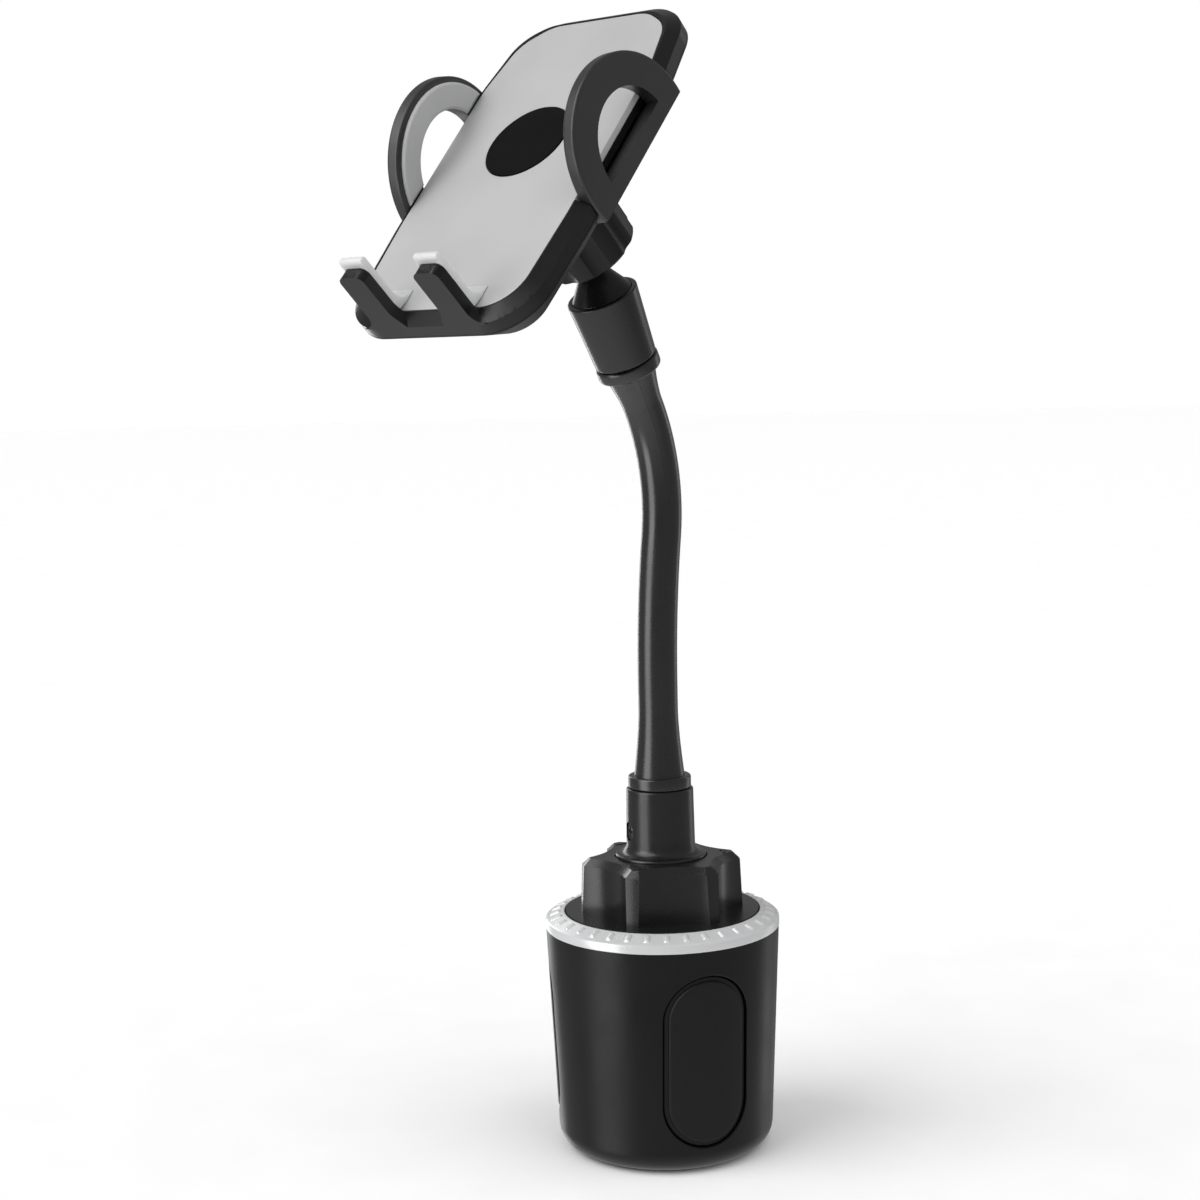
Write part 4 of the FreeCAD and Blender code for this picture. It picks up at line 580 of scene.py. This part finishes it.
@dataclass
class PhoneHolder:
    """The phone holder: its frame, plate, bezel and shell, and the soft pads on its fingers."""

    origin_y: float = -51.0317
    origin_z: float = 285.0902
    lean_deg: float = 48.01
    finger_centre: float = 12.8
    pad_half: float = 3.8
    pad_face: float = -59.6
    pad_thickness: float = 2.2
    pad_rise: float = 18.5
    pad_hollow: float = 5.2
    pad_toe: float = 0.35
    pad_tip: float = 1.0
    pad_edge: float = 0.12
    pad_points: int = 90
    rim_slope: float = 3.8
    rim_lip: float = 0.55
    lift: float = 0.05
    leaf_half: float = 6.0
    leaf_flat: float = 1.0
    leaf_strip: float = 0.4
    leaf_low: float = -9.97
    leaf_high: float = -4.03
    leaf_from: float = 25.0
    leaf_to: float = 29.0
    leaf_edge: float = 0.06
    leaf_keep: float = 0.66
    leaf_points: int = 60
    heel_x: float = 16.96
    heel_y: float = -48.0
    heel_round: float = 14.8
    heel_deg: float = 20.0
    tangent_run: float = 25.0
    far_corner: tuple[float, float] = (50.0, 80.0)
    rim_width: float = 3.3
    rim_drop: float = 2.17
    block_low: float = -20.0
    block_top: float = 0.03
    finger_side: float = 16.95
    finger_inner: float = 5.5
    finger_inside: float = -59.5
    finger_outside: float = -63.2
    finger_low: float = -2.7
    finger_top: float = 20.0
    root_round: float = 4.2

    def place(self, local: np.ndarray) -> np.ndarray:
        """Points in the shared frame from (across, up the plate, out of its face) in millimetres.

        Args:
            local: points of shape (..., 3).

        Returns:
            The placed points, in metres.
        """
        lean = math.radians(self.lean_deg)
        x, v, w = np.moveaxis(local, -1, 0)
        y = self.origin_y + v * math.cos(lean) - w * math.sin(lean)
        z = self.origin_z + v * math.sin(lean) + w * math.cos(lean)
        return np.stack([x, y, z], axis=-1) * MM

    def foot_pad(self, side: int) -> bpy.types.Object:
        """A soft strip: up the finger's inner face, over its tip, and out in a thin toe.

        The inner curve is a rounded tip, a straight run and a hollow quarter circle that runs out
        along the plate. The outer one follows the finger, the rim's slope and the plate.

        Args:
            side: 1 for the right finger and -1 for the left.

        Returns:
            The strip.
        """
        back = self.pad_face + self.pad_thickness
        end = back + self.pad_hollow
        tip = self.pad_rise - self.pad_tip
        inner = np.concatenate([
            arc((back - self.pad_tip, tip), self.pad_tip, 90.0, 0.0),
            arc((end, self.pad_toe + self.pad_hollow), self.pad_hollow, 180.0, 270.0, count=32),
        ])
        outer = np.concatenate([
            arc((self.pad_face + self.pad_tip, tip), self.pad_tip, 90.0, 180.0),
            [[self.pad_face, self.rim_lip + self.lift],
             [self.pad_face + self.rim_slope, self.lift], [end, self.lift]],
        ])
        centre = side * self.finger_centre
        return ribbon(f"foot_pad_{SIDES[side]}_silicone",
                      (resample(outer, self.pad_points), resample(inner, self.pad_points)),
                      (centre - self.pad_half, centre + self.pad_half),
                      (self.pad_edge, self.pad_edge), self.place)

    def rim_block(self) -> np.ndarray:
        """The room of the bezel's rim: its outline carried up, then drawn in over the rim's slope.

        The outline is the lower end, a round heel and the heel's own tangent, which passes outside
        the rest of the bezel. It is drawn in along its normals, and both ends are closed flat.

        Returns:
            The rows of loops in the holder's frame.
        """
        heel = arc((self.heel_x, self.heel_y), self.heel_round, -90.0, -self.heel_deg, count=40)
        angle = math.radians(self.heel_deg)
        tangent = np.array([math.sin(angle), math.cos(angle)])
        right = np.concatenate([heel, [heel[-1] + self.tangent_run * tangent, self.far_corner]])
        outline = np.concatenate([right, right[::-1] * [-1.0, 1.0]])
        ahead = np.roll(outline, -1, axis=0) - np.roll(outline, 1, axis=0)
        left = np.stack([-ahead[:, 1], ahead[:, 0]], axis=1)
        inner = outline + self.rim_width * (left / np.linalg.norm(ahead, axis=1, keepdims=True))
        middle = np.zeros_like(outline)
        levels = ((middle, self.block_low), (outline, self.block_low), (outline, -self.rim_drop),
                  (inner, self.block_top), (middle, self.block_top))
        return np.stack([np.concatenate([loop, np.full((len(loop), 1), w)], axis=1)
                         for loop, w in levels])

    def finger_block(self, side: int) -> np.ndarray:
        """The room of a finger: an upright outline carried through the finger's thickness.

        The outline has a hollow quarter circle at its outer root.

        Args:
            side: 1 for the right finger and -1 for the left.

        Returns:
            The rows of loops in the holder's frame.
        """
        root = self.root_round
        toe = arc((self.finger_side + root, root - self.rim_drop), root, -90.0, -180.0, count=24)
        finger = np.concatenate([
            [[self.finger_inner, self.finger_low], [self.finger_side, self.finger_low]], toe,
            [[self.finger_side, self.finger_top], [self.finger_inner, self.finger_top]],
        ])
        heart = np.broadcast_to(finger.mean(axis=0), finger.shape)
        levels = ((heart, self.finger_outside), (finger, self.finger_outside),
                  (finger, self.finger_inside), (heart, self.finger_inside))
        return np.stack([np.stack([side * loop[:, 0], np.full(len(loop), v), loop[:, 1]], axis=1)
                         for loop, v in levels])

    def bezel(self) -> bpy.types.Object:
        """The bezel with short finger roots: a merged copy of the CAD node's mesh, cut down.

        It is kept only inside the rooms of its rim and its two fingers.

        Returns:
            The bezel.
        """
        rooms = [self.rim_block()] + [self.finger_block(side) for side in SIDES]
        keep = make_piece("bezel_keep",
                          [(self.place(room), Edge.OPEN, Edge.LOOP) for room in rooms])
        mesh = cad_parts["front_bezel"].data.copy()
        merge_points(mesh, near=WELD)
        piece = add_object("front_bezel_moulded", mesh)
        trim = piece.modifiers.new("trim", "BOOLEAN")
        trim.operation = "INTERSECT"
        trim.solver = "EXACT"
        trim.use_self = True
        trim.object = keep
        bpy.context.view_layer.update()
        cut = piece.evaluated_get(bpy.context.evaluated_depsgraph_get())
        trimmed = bpy.data.meshes.new_from_object(cut)
        piece.modifiers.clear()
        merge_points(trimmed, near=CUT_MERGE, sliver=CUT_MERGE)
        piece.data = trimmed
        bpy.data.objects.remove(keep)
        return piece

    def leaf(self) -> bpy.types.Object:
        """The button's spring: a bent strip between two like lines, its thickness apart.

        Each line runs in from the front wall, along the button's inner end and out to the front
        wall again.

        Returns:
            The leaf.
        """
        half, flat, strip = self.leaf_half, self.leaf_flat, self.leaf_strip
        under = np.array([[-half, self.leaf_high], [-half, self.leaf_high - strip],
                          [-flat, self.leaf_low], [flat, self.leaf_low],
                          [half, self.leaf_high - strip], [half, self.leaf_high]])
        inwards = np.array([[2.0, 0.0], [0.0, 1.0], [0.0, 1.0], [-2.0, 0.0]])
        over = under[[0, 2, 3, 5]] + strip * inwards
        count = self.leaf_points
        return ribbon("button_spring_leaf", (resample(under, count), resample(over, count)),
                      (self.leaf_from, self.leaf_to), (self.leaf_edge, self.leaf_edge),
                      lambda grid: self.place(grid[..., [1, 0, 2]]))

    def build(self) -> None:
        """Dresses the holder's nodes, and makes the bezel, the leaf and the fingers' soft pads."""
        dress_nodes({"front_plate": (GREY_PAINT, 0.3), "badge_disc": (BADGE_BLACK, 0.0),
                     "rear_shell": (BLACK_PLASTIC, 0.3), "shell_screws": (STEEL, 0.1),
                     "pinion_pin": (STEEL, 0.0), "pinion": (NYLON, 0.0),
                     "release_button": (BLACK_PLASTIC, 0.2)})
        bezel = self.bezel()
        dress(bezel, BLACK_SATIN, bevel_mm=0.35)
        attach(bezel, "holder")
        stand_in(bezel, "front_bezel")
        leaf = self.leaf()
        paint(leaf, STEEL)
        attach(leaf, "holder")
        stand_in(leaf, "button_spring")
        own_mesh(leaf)
        for side, name in SIDES.items():
            piece = self.foot_pad(side)
            paint(piece, SILICONE)
            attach(piece, "holder")
            stand_in(piece, f"foot_pad_{name}")


@dataclass
class SideArms:
    """The two D-shaped arms with their racks, and the soft faces on their inner sides."""

    inner: float = 29.3
    lean_deg: float = 4.4
    proud: float = 1.0
    centre: float = -5.6
    outer_radius: float = 22.1
    hole_centre: float = -5.2
    hole_radius: float = 14.7
    floor: float = 0.5
    edge_round: float = 0.9
    points: int = 72

    def lean(self, grid: np.ndarray, side: int) -> np.ndarray:
        """Points in the holder's frame from (along the arm's normal, along the holder, up the arm).

        The band leans with the arm: a along its normal and q up its plane come to
        a cos c - q sin c across and a sin c + q cos c out.

        Args:
            grid: points of shape (..., 3), for the right arm.
            side: 1 for the right arm and -1 for the left, which is the right one turned half round.

        Returns:
            The points, in millimetres.
        """
        angle = math.radians(self.lean_deg)
        a, v, q = np.moveaxis(grid, -1, 0)
        across = self.inner + a * math.cos(angle) - q * math.sin(angle)
        out = a * math.sin(angle) + q * math.cos(angle)
        return np.stack([side * across, side * v, out], axis=-1)

    def soft_face(self, holder: PhoneHolder, side: int) -> bpy.types.Object:
        """A band between two arcs, one about the arm's centre and one about its window's.

        A point at share t lies at t times the arc's own half angle, measured from straight out.

        Args:
            holder: gives the holder's frame.
            side: 1 for the right arm and -1 for the left.

        Returns:
            The band.
        """
        def curve(centre: float, radius: float) -> np.ndarray:
            """An arc above the floor, as points along the holder and up the arm."""
            turn = math.acos((self.floor - centre) / radius) * np.linspace(-1.0, 1.0, self.points)
            return np.stack([radius * np.sin(turn), centre + radius * np.cos(turn)], axis=1)

        return ribbon(f"arm_pad_{SIDES[side]}_soft",
                      (curve(self.hole_centre, self.hole_radius),
                       curve(self.centre, self.outer_radius)),
                      (-self.proud, 0.0), (self.edge_round, 0.0),
                      lambda grid: holder.place(self.lean(grid, side)))

    def build(self, holder: PhoneHolder) -> None:
        """Dresses the arms and makes their soft faces.

        Args:
            holder: gives the holder's frame.
        """
        for side, name in SIDES.items():
            dress_nodes({f"arm_{name}": (ARM_PLASTIC, 0.55)})
            piece = self.soft_face(holder, side)
            paint(piece, GREY_SOFT)
            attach(piece, f"arm_{name}")
            stand_in(piece, f"arm_pad_{name}")


@dataclass
class CupBase:
    """The cup with its trim ring, hex knob and neck post, and the rubber faces of its pads."""

    foot_radius: float = 31.1
    top_radius: float = 33.9
    height: float = 64.5
    pad_low: float = 7.8
    pad_high: float = 57.2
    pad_half: float = 12.4
    wall: float = 2.4
    floor: float = 3.4
    foot_round: float = 6.0
    inner_round: float = 1.7
    bolt_recess: float = 4.3
    bolt_recess_depth: float = 1.95
    bolt_hole: float = 2.12
    window_count: int = 3
    window_gap: float = 0.3
    window_ease: float = 0.35
    window_crowd: float = 1.4
    window_turns: int = 49
    window_runs: int = 31
    grip_thickness: float = 2.4
    grip_border: float = 1.3
    grip_step: float = 0.7
    grip_round: float = 0.5
    grip_draft: float = 0.05
    grip_turns: int = 48
    grip_runs: int = 24
    grip_rows: int = 11
    ring_radius: float = 34.0
    ring_edge: float = 2.5
    ring_rise: float = 4.7
    ring_bore: float = 28.4
    ring_soft: float = 0.5
    ring_foot_round: float = 0.3
    bevel_rows: int = 28
    ledge_bore: float = 25.4
    ledge_top: float = 65.9
    skirt_low: float = 61.5
    skirt_radius: float = 31.25
    tooth_count: int = 36
    tooth_half: float = 0.75
    tooth_proud: float = 0.55
    tooth_from: float = 0.16
    tooth_to: float = 0.86
    tooth_ease: float = 0.14
    tooth_points: int = 18
    knob_top: float = 84.9
    knob_corner_deg: float = 47.0
    arrow_radius: float = 18.4
    arrow_turn_deg: float = 15.0
    arrow_half: float = 0.42
    arrow_proud: float = 0.14
    arrow_sunk: float = 0.1

    def cone(self, z: np.ndarray) -> np.ndarray:
        """Radius of the cup's outer wall at heights z: it grows evenly from foot to top."""
        return self.foot_radius + (self.top_radius - self.foot_radius) * z / self.height

    def track(self, turns: int, runs: int) -> tuple[np.ndarray, np.ndarray, np.ndarray]:
        """An upright slot about a pad's middle line: half circle, run down, half circle, run up.

        Args:
            turns: points on each half circle.
            runs: points on each run.

        Returns:
            Heights on the middle line, and the ways from it to the outline, across and up.
        """
        turn = np.linspace(0.0, math.pi, turns)
        run = np.linspace(0.0, 1.0, runs + 2)[1:-1]
        low, high = self.pad_low + self.pad_half, self.pad_high - self.pad_half
        middle = np.concatenate([np.full(turns, high), high + (low - high) * run,
                                 np.full(turns, low), low + (high - low) * run])
        across = np.concatenate([np.cos(turn), -np.ones(runs), -np.cos(turn), np.ones(runs)])
        up = np.concatenate([np.sin(turn), np.zeros(runs), -np.sin(turn), np.zeros(runs)])
        return middle, across, up

    def slot(self, half: float) -> tuple[np.ndarray, np.ndarray]:
        """Offsets across and heights of a window's outline, half its width from the middle line."""
        middle, across, up = self.track(self.window_turns, self.window_runs)
        return half * across, middle + half * up

    def third(self, half: float, low: float, depth: float,
              rows: int) -> tuple[np.ndarray, np.ndarray, np.ndarray]:
        """A third of a wall face between two loops, a window's outline and the third's border.

        Row k lies k parts of the way from the outline to the border, eased so that rows crowd at
        the window.

        Args:
            half: half the window's width.
            low: height of the border's lower side.
            depth: how far the face lies under the outer wall.
            rows: number of rows.

        Returns:
            Angles from the third's middle, heights and depths.
        """
        x, z = self.slot(half)
        turns, runs = self.window_turns, self.window_runs
        edge = np.linspace(1.0, -1.0, turns)
        side = np.concatenate([edge, -np.ones(runs), -edge, np.ones(runs)])
        side = math.pi / self.window_count * side
        climb = np.linspace(self.height, low, runs + 2)[1:-1]
        rise = np.concatenate([np.full(turns, self.height), climb, np.full(turns, low),
                               climb[::-1]])
        turn = np.arcsin(x / (self.cone(z) - depth))
        part = (np.linspace(0.0, 1.0, rows) ** self.window_crowd)[:, None]
        height = z + (rise - z) * part
        return turn + (side - turn) * part, height, np.full_like(height, depth)

    def reveal(self) -> tuple[np.ndarray, np.ndarray, np.ndarray]:
        """A window's edge: a quarter circle into the opening, then straight through the wall.

        Returns:
            Angles from the window's middle, heights and depths.
        """
        grow = np.concatenate([self.window_ease * (1.0 - np.sin(QUARTER)), [0.0]])
        depth = np.concatenate([self.window_ease * (1.0 - np.cos(QUARTER)), [self.wall]])[:, None]
        loops = [self.slot(self.pad_half + self.window_gap + g) for g in grow]
        x, z = (np.stack(part) for part in zip(*loops))
        return np.arcsin(x / (self.cone(z) - depth)), z, np.broadcast_to(depth, z.shape)

    def cup(self) -> bpy.types.Object:
        """The cup: a tapered wall with slot windows, a rounded foot, a floor and a bolt recess.

        The wall's faces and the windows' edges are laid on the cone, radius less depth at an angle
        and a height. The foot, the floor and the upper edge are profiles turned round the axis.

        Returns:
            The cup.
        """
        half = self.pad_half + self.window_gap
        inner_low = self.floor + self.inner_round
        faces = (self.third(half + self.window_ease, self.foot_round, depth=0.0, rows=22),
                 self.reveal(), self.third(half, inner_low, depth=self.wall, rows=8))
        reach = math.pi / self.window_count
        middles = np.radians(90.0 + 360.0 / self.window_count * np.arange(self.window_count))
        grids = [polar(self.cone(z) - depth, middle + turn, z)
                 for middle in middles for turn, z, depth in faces]
        steps = np.linspace(-reach, reach, self.window_turns)[:-1]
        round_turn = (middles[:, None] + steps[None, :]).ravel()
        foot = arc((self.foot_radius - self.foot_round, self.foot_round), self.foot_round,
                   0.0, -90.0, count=14)
        foot[:, 0] += self.cone(foot[:, 1]) - self.foot_radius
        corner = self.cone(inner_low) - self.wall
        floor = arc((corner - self.inner_round, inner_low), self.inner_round, -90.0, 0.0, count=8)
        bolt = [[self.bolt_recess, 0.0], [self.bolt_recess, self.bolt_recess_depth],
                [self.bolt_hole, self.bolt_recess_depth], [self.bolt_hole, self.floor]]
        brim = np.array([[self.top_radius - self.wall, self.height],
                         [self.top_radius, self.height]])
        for profile in (np.concatenate([foot, bolt, floor]), brim):
            grids.append(polar(profile[:, :1], round_turn, profile[:, 1:]))
        return make_piece("cup_moulded", [(grid * MM, Edge.OPEN, Edge.LOOP) for grid in grids])

    def grip(self, name: str, angle_deg: float) -> bpy.types.Object:
        """A rubber face: an upright slot spread from its middle line and laid on the cup's cone.

        A point at spread s lies at the middle line plus s times the way to the outline. Its radius
        from the cup's axis is the wall's, less its depth. The depth is that of a low border round
        the rim, then of a rounded step up to the face.

        Args:
            name: which pad it is.
            angle_deg: the pad's direction in plan.

        Returns:
            The closed rubber face.
        """
        ease = self.grip_round
        face = self.pad_half - self.grip_border
        middle, across, up = self.track(self.grip_turns, self.grip_runs)
        rounded, sunk = ease * np.sin(QUARTER), ease * (1.0 - np.cos(QUARTER))
        spread = np.concatenate([np.linspace(0.0, face - ease, self.grip_rows + 1)[:-1],
                                 face - ease + rounded, [face + self.grip_draft],
                                 self.pad_half - ease + rounded, [self.pad_half, 0.0]])
        depth = np.concatenate([np.zeros(self.grip_rows), sunk, [self.grip_step],
                                self.grip_step + sunk, [self.grip_thickness] * 2])
        x = spread[:, None] * across
        z = middle + spread[:, None] * up
        y = np.sqrt((self.cone(z) - depth[:, None]) ** 2 - x ** 2)
        turn = math.radians(angle_deg - 90.0)
        grid = np.stack([x * math.cos(turn) - y * math.sin(turn),
                         x * math.sin(turn) + y * math.cos(turn), z], axis=-1)
        return make_piece(f"pad_grip_{name}_rubber", [(grid * MM, Edge.OPEN, Edge.LOOP)],
                          SOFT_SHARP_DEG)

    def ring(self) -> bpy.types.Object:
        """The silver ring: a closed profile turned round the axis, with small ribs on its bevel.

        A rib lifts the bevel along its normal by proud times f(t) times g(s): f falls as a rounded
        bump over the rib's half width across the angle, and g is 1 over the middle of the bevel
        and eases to 0 at both its ends.

        Returns:
            The ring.
        """
        low, soft, foot = self.height, self.ring_soft, self.ring_foot_round
        brow, top = low + self.ring_edge, low + self.ring_rise
        lean = math.degrees(math.atan2(self.ring_radius - self.ring_bore, top - brow))
        bevel = np.linspace(0.0, 1.0, self.bevel_rows + 2)[1:-1, None]
        start = np.array([self.ring_radius, brow])
        end = np.array([self.ring_bore, top])
        along = (end - start) / np.linalg.norm(end - start)
        first, last = start + along * soft, end - along * soft
        side = np.array([self.ring_radius, brow - soft])
        bore = np.array([self.ring_bore, top - soft])
        lip = arc((self.ring_radius - foot, low + foot), foot, -90.0, 0.0, count=5)
        below = np.concatenate([[[self.skirt_radius, low]], lip,
                                [side, start * 0.5 + (first + side) * 0.25, first]])
        above = np.array([last, end * 0.5 + (last + bore) * 0.25, bore,
                          [self.ring_bore, self.ledge_top], [self.ledge_bore, self.ledge_top],
                          [self.ledge_bore, self.skirt_low], [self.skirt_radius, self.skirt_low]])
        profile = np.concatenate([below, first + (last - first) * bevel, above])
        inside = np.minimum(bevel[:, 0] - self.tooth_from, self.tooth_to - bevel[:, 0])
        ease = np.clip(inside / self.tooth_ease, 0.0, 1.0)
        share = np.concatenate([np.zeros(len(below)), ease * ease * (3.0 - 2.0 * ease),
                                np.zeros(len(above))])
        turn = around(self.tooth_count * self.tooth_points)
        step = FULL_TURN / self.tooth_count
        away = ((turn + step / 2.0) % step - step / 2.0)[None, :] * profile[:, :1]
        bump = np.sqrt(np.clip(1.0 - (away / self.tooth_half) ** 2, 0.0, 1.0))
        lift = self.tooth_proud * share[:, None] * bump
        normal = math.cos(math.radians(lean)), math.sin(math.radians(lean))
        grid = polar(profile[:, :1] + lift * normal[0], turn, profile[:, 1:] + lift * normal[1])
        return make_piece("trim_ring_ribbed", [(grid * MM, Edge.LOOP, Edge.LOOP)], sharp_deg=34.0)

    def arrow(self, number: int, middle_deg: float) -> bpy.types.Object:
        """A low curved arrow on the knob: a flat band on an arc, which opens and runs to a point.

        A point at share s lies on the arc at s times its turn. The half width is steady, steps up
        to the head's and falls evenly to the tip.

        Args:
            number: which arrow it is.
            middle_deg: direction of the arc's middle in plan.

        Returns:
            The arrow.
        """
        share = np.array([0.0, 0.0, 0.2, 0.4, 0.6, 0.6, 0.7, 0.8, 0.9, 1.0, 1.0])
        widths = np.array([0.0, 1.0, 1.0, 1.0, 1.0, 2.6, 1.95, 1.3, 0.65, 0.05, 0.0])
        sides = np.array([1.0, 0.92, -0.92, -1.0])
        rises = np.array([-self.arrow_sunk, self.arrow_proud, self.arrow_proud, -self.arrow_sunk])
        turn = np.radians(middle_deg + self.arrow_turn_deg * (share - 0.5))[:, None]
        radius = self.arrow_radius + (self.arrow_half * widths)[:, None] * sides
        grid = polar(radius, turn, self.knob_top + rises)
        return make_piece(f"knob_arrow_{number}", [(grid * MM, Edge.OPEN, Edge.LOOP)],
                          sharp_deg=30.0)

    def build(self) -> None:
        """Dresses the nodes of the base and the neck, and makes the cup, ring, arrows and grips."""
        dress_nodes({"guide_frame": (NYLON, 0.0), "neck_post": (KNOB_PLASTIC, 0.25),
                     "neck_screw": (DARK_STEEL, 0.1), "post_bolt": (STEEL, 0.2),
                     "hex_knob": (KNOB_PLASTIC, 0.3), "cam_disc": (NYLON, 0.0),
                     "cam_screws": (STEEL, 0.0), "stem_collar": (KNOB_PLASTIC, 0.25),
                     "ball_stud": (BLACK_SATIN, 0.2), "lock_nut": (BLACK_PLASTIC, 0.3)})
        for piece, node, finish, slot in (
                (self.cup(), "cup_shell", BLACK_PLASTIC, "black_plastic"),
                (self.ring(), "trim_ring", SILVER_COAT, "silver_trim")):
            paint(piece, finish)
            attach(piece, "base")
            stand_in(piece, node)
        for number in range(3):
            mark = self.arrow(number, self.knob_corner_deg + 120.0 * number)
            paint(mark, BLACK_SATIN)
            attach(mark, "knob")
            LOG.info("made %s", mark.name)
        for name, angle_deg in (("rear", 90.0), ("left", 210.0), ("right", 330.0)):
            dress_nodes({f"pad_carrier_{name}": (BLACK_PLASTIC, 0.0)})
            piece = self.grip(name, angle_deg)
            paint(piece, PAD_RUBBER)
            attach(piece, f"pad_{name}")
            stand_in(piece, f"pad_grip_{name}")


# Studio
@dataclass
class Studio:
    """Camera, floor and soft lights."""

    azimuth_deg: float = 39.45
    pitch_deg: float = 6.35
    roll_deg: float = -1.28
    camera_at: tuple[float, float, float] = (0.3665, -0.4707, 0.2260)
    lens: float = 62.77
    floor_span: tuple[float, float] = (0.05, 9.0)
    floor_rings: int = 24
    floor_columns: int = 64
    floor_level: float = -0.0002
    ambient: float = 0.50
    mirrored: float = 0.28
    mirrored_floor: float = 1.0
    unlit: bpy.types.Collection | None = None

    def camera(self) -> None:
        """The photograph's camera: its axes from azimuth and pitch, then a small roll."""
        angles = self.azimuth_deg, self.pitch_deg, self.roll_deg
        turn, pitch, roll = (math.radians(a) for a in angles)
        right = Vector((math.cos(turn), math.sin(turn), 0.0))
        back = Vector((math.sin(turn) * math.cos(pitch), -math.cos(turn) * math.cos(pitch),
                       math.sin(pitch)))
        up = back.cross(right)
        right, up = (right * math.cos(roll) + up * math.sin(roll),
                     up * math.cos(roll) - right * math.sin(roll))
        data = bpy.data.cameras.new("photo_camera")
        data.lens = self.lens
        data.sensor_width = 36.0
        data.clip_start = 0.01
        camera = add_object("photo_camera", data)
        axes = Matrix((right, up, back)).transposed().to_4x4()
        axes.translation = Vector(self.camera_at)
        camera.matrix_world = axes
        bpy.context.scene.camera = camera

    def floor(self) -> None:
        """A wide pale floor: rings of points, closed at the middle, that no surface mirrors."""
        reach = np.concatenate([[0.0], np.geomspace(*self.floor_span, self.floor_rings)])
        grid = polar(reach[:, None], around(self.floor_columns), self.floor_level)
        floor = make_piece("studio_floor", [(grid, Edge.OPEN, Edge.LOOP)])
        paint(floor, PAPER)
        floor.visible_glossy = False
        self.unlit = bpy.data.collections.new("floor_unlit_by_boxes")
        self.unlit.objects.link(floor)
        self.unlit.collection_objects[0].light_linking.link_state = "EXCLUDE"

    def lamp(self, data: bpy.types.Light, way: Vector) -> bpy.types.Object:
        """Puts a light into the scene.

        Args:
            data: the light.
            way: the direction that it shines in.

        Returns:
            The light's object.
        """
        lamp = add_object(data.name, data)
        lamp.rotation_mode = "QUATERNION"
        lamp.rotation_quaternion = way.to_track_quat("-Z", "Y")
        return lamp

    def sun(self, name: str, come_from: tuple[float, float, float], spread_deg: float,
            strength: float, mirrored: bool = True) -> None:
        """An even, wide, soft light over the whole floor.

        Args:
            name: the light's name.
            come_from: the direction that it comes from.
            spread_deg: how wide it is in the sky.
            strength: its strength.
            mirrored: whether glossy surfaces mirror it.
        """
        data = bpy.data.lights.new(name, "SUN")
        data.angle = math.radians(spread_deg)
        data.energy = strength
        self.lamp(data, -Vector(come_from)).visible_glossy = mirrored

    def box(self, name: str, at: tuple[float, float, float], size: tuple[float, float],
            watts: float, aim: tuple[float, float, float] = (0.0, 0.0, 0.17)) -> None:
        """A soft box, which lights the object and leaves the floor to the even lights.

        Args:
            name: the light's name.
            at: where it stands.
            size: its width and height in metres.
            watts: its power.
            aim: what it points at, the object's middle if not given.
        """
        data = bpy.data.lights.new(name, "AREA")
        data.shape = "RECTANGLE"
        data.size, data.size_y = size
        data.energy = watts
        lamp = self.lamp(data, Vector(aim) - Vector(at))
        lamp.light_linking.receiver_collection = self.unlit
        lamp.location = at

    def surroundings(self) -> None:
        """White for the camera, an even glow for diffuse rays, and dim above for mirrored ones."""
        world = bpy.data.worlds.new("studio_surroundings")
        world.use_nodes = True
        nodes, links = world.node_tree.nodes, world.node_tree.links
        shade = nodes["Background"]
        shade.inputs["Color"].default_value = (1.0, 1.0, 1.0, 1.0)
        seen = nodes.new("ShaderNodeLightPath")
        parts = nodes.new("ShaderNodeSeparateXYZ")
        place = nodes.new("ShaderNodeTexCoord")
        links.new(place.outputs["Generated"], parts.inputs["Vector"])
        glow = nodes.new("ShaderNodeMapRange")
        set_inputs(glow, {"From Min": -0.2, "From Max": -0.9, "To Min": self.mirrored,
                          "To Max": self.mirrored_floor})
        links.new(parts.outputs["Z"], glow.inputs["Value"])
        level, white = (nodes.new("ShaderNodeMix") for _ in range(2))
        for switch, kind in ((level, "Is Glossy Ray"), (white, "Is Camera Ray")):
            switch.data_type = "FLOAT"
            set_inputs(switch, {"A": self.ambient, "B": 1.0})
            links.new(seen.outputs[kind], switch.inputs["Factor"])
        links.new(glow.outputs["Result"], level.inputs["B"])
        links.new(level.outputs["Result"], white.inputs["A"])
        links.new(white.outputs["Result"], shade.inputs["Strength"])
        bpy.context.scene.world = world

    def build(self) -> None:
        """Sets up the camera, the floor, the lights and the pale surroundings."""
        self.camera()
        self.floor()
        self.sun("key_sun", (-0.35, -0.75, 0.85), spread_deg=50.0, strength=1.66)
        self.sun("fill_sun", (0.9, 0.05, 0.9), spread_deg=70.0, strength=0.95, mirrored=False)
        self.box("front_box", (-0.50, -1.28, 0.1), (0.80, 1.8), watts=13.0, aim=(0.0, 0.0, 0.15))
        self.box("rim_box", (0.35, 1.35, 0.1), (0.30, 1.8), watts=1.6)
        self.box("side_box", (-1.2, 0.55, 0.1), (0.25, 1.8), watts=4.5)
        self.surroundings()
        bpy.context.scene.view_settings.view_transform = "Standard"


def main() -> None:
    """Builds every sub-assembly in order."""
    logging.basicConfig(level=logging.INFO, format="%(message)s")
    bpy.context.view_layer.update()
    CupBase().build()
    Gooseneck().build()
    holder = PhoneHolder()
    holder.build()
    SideArms().build(holder)
    Studio().build()


if __name__ == "__main__":
    main()
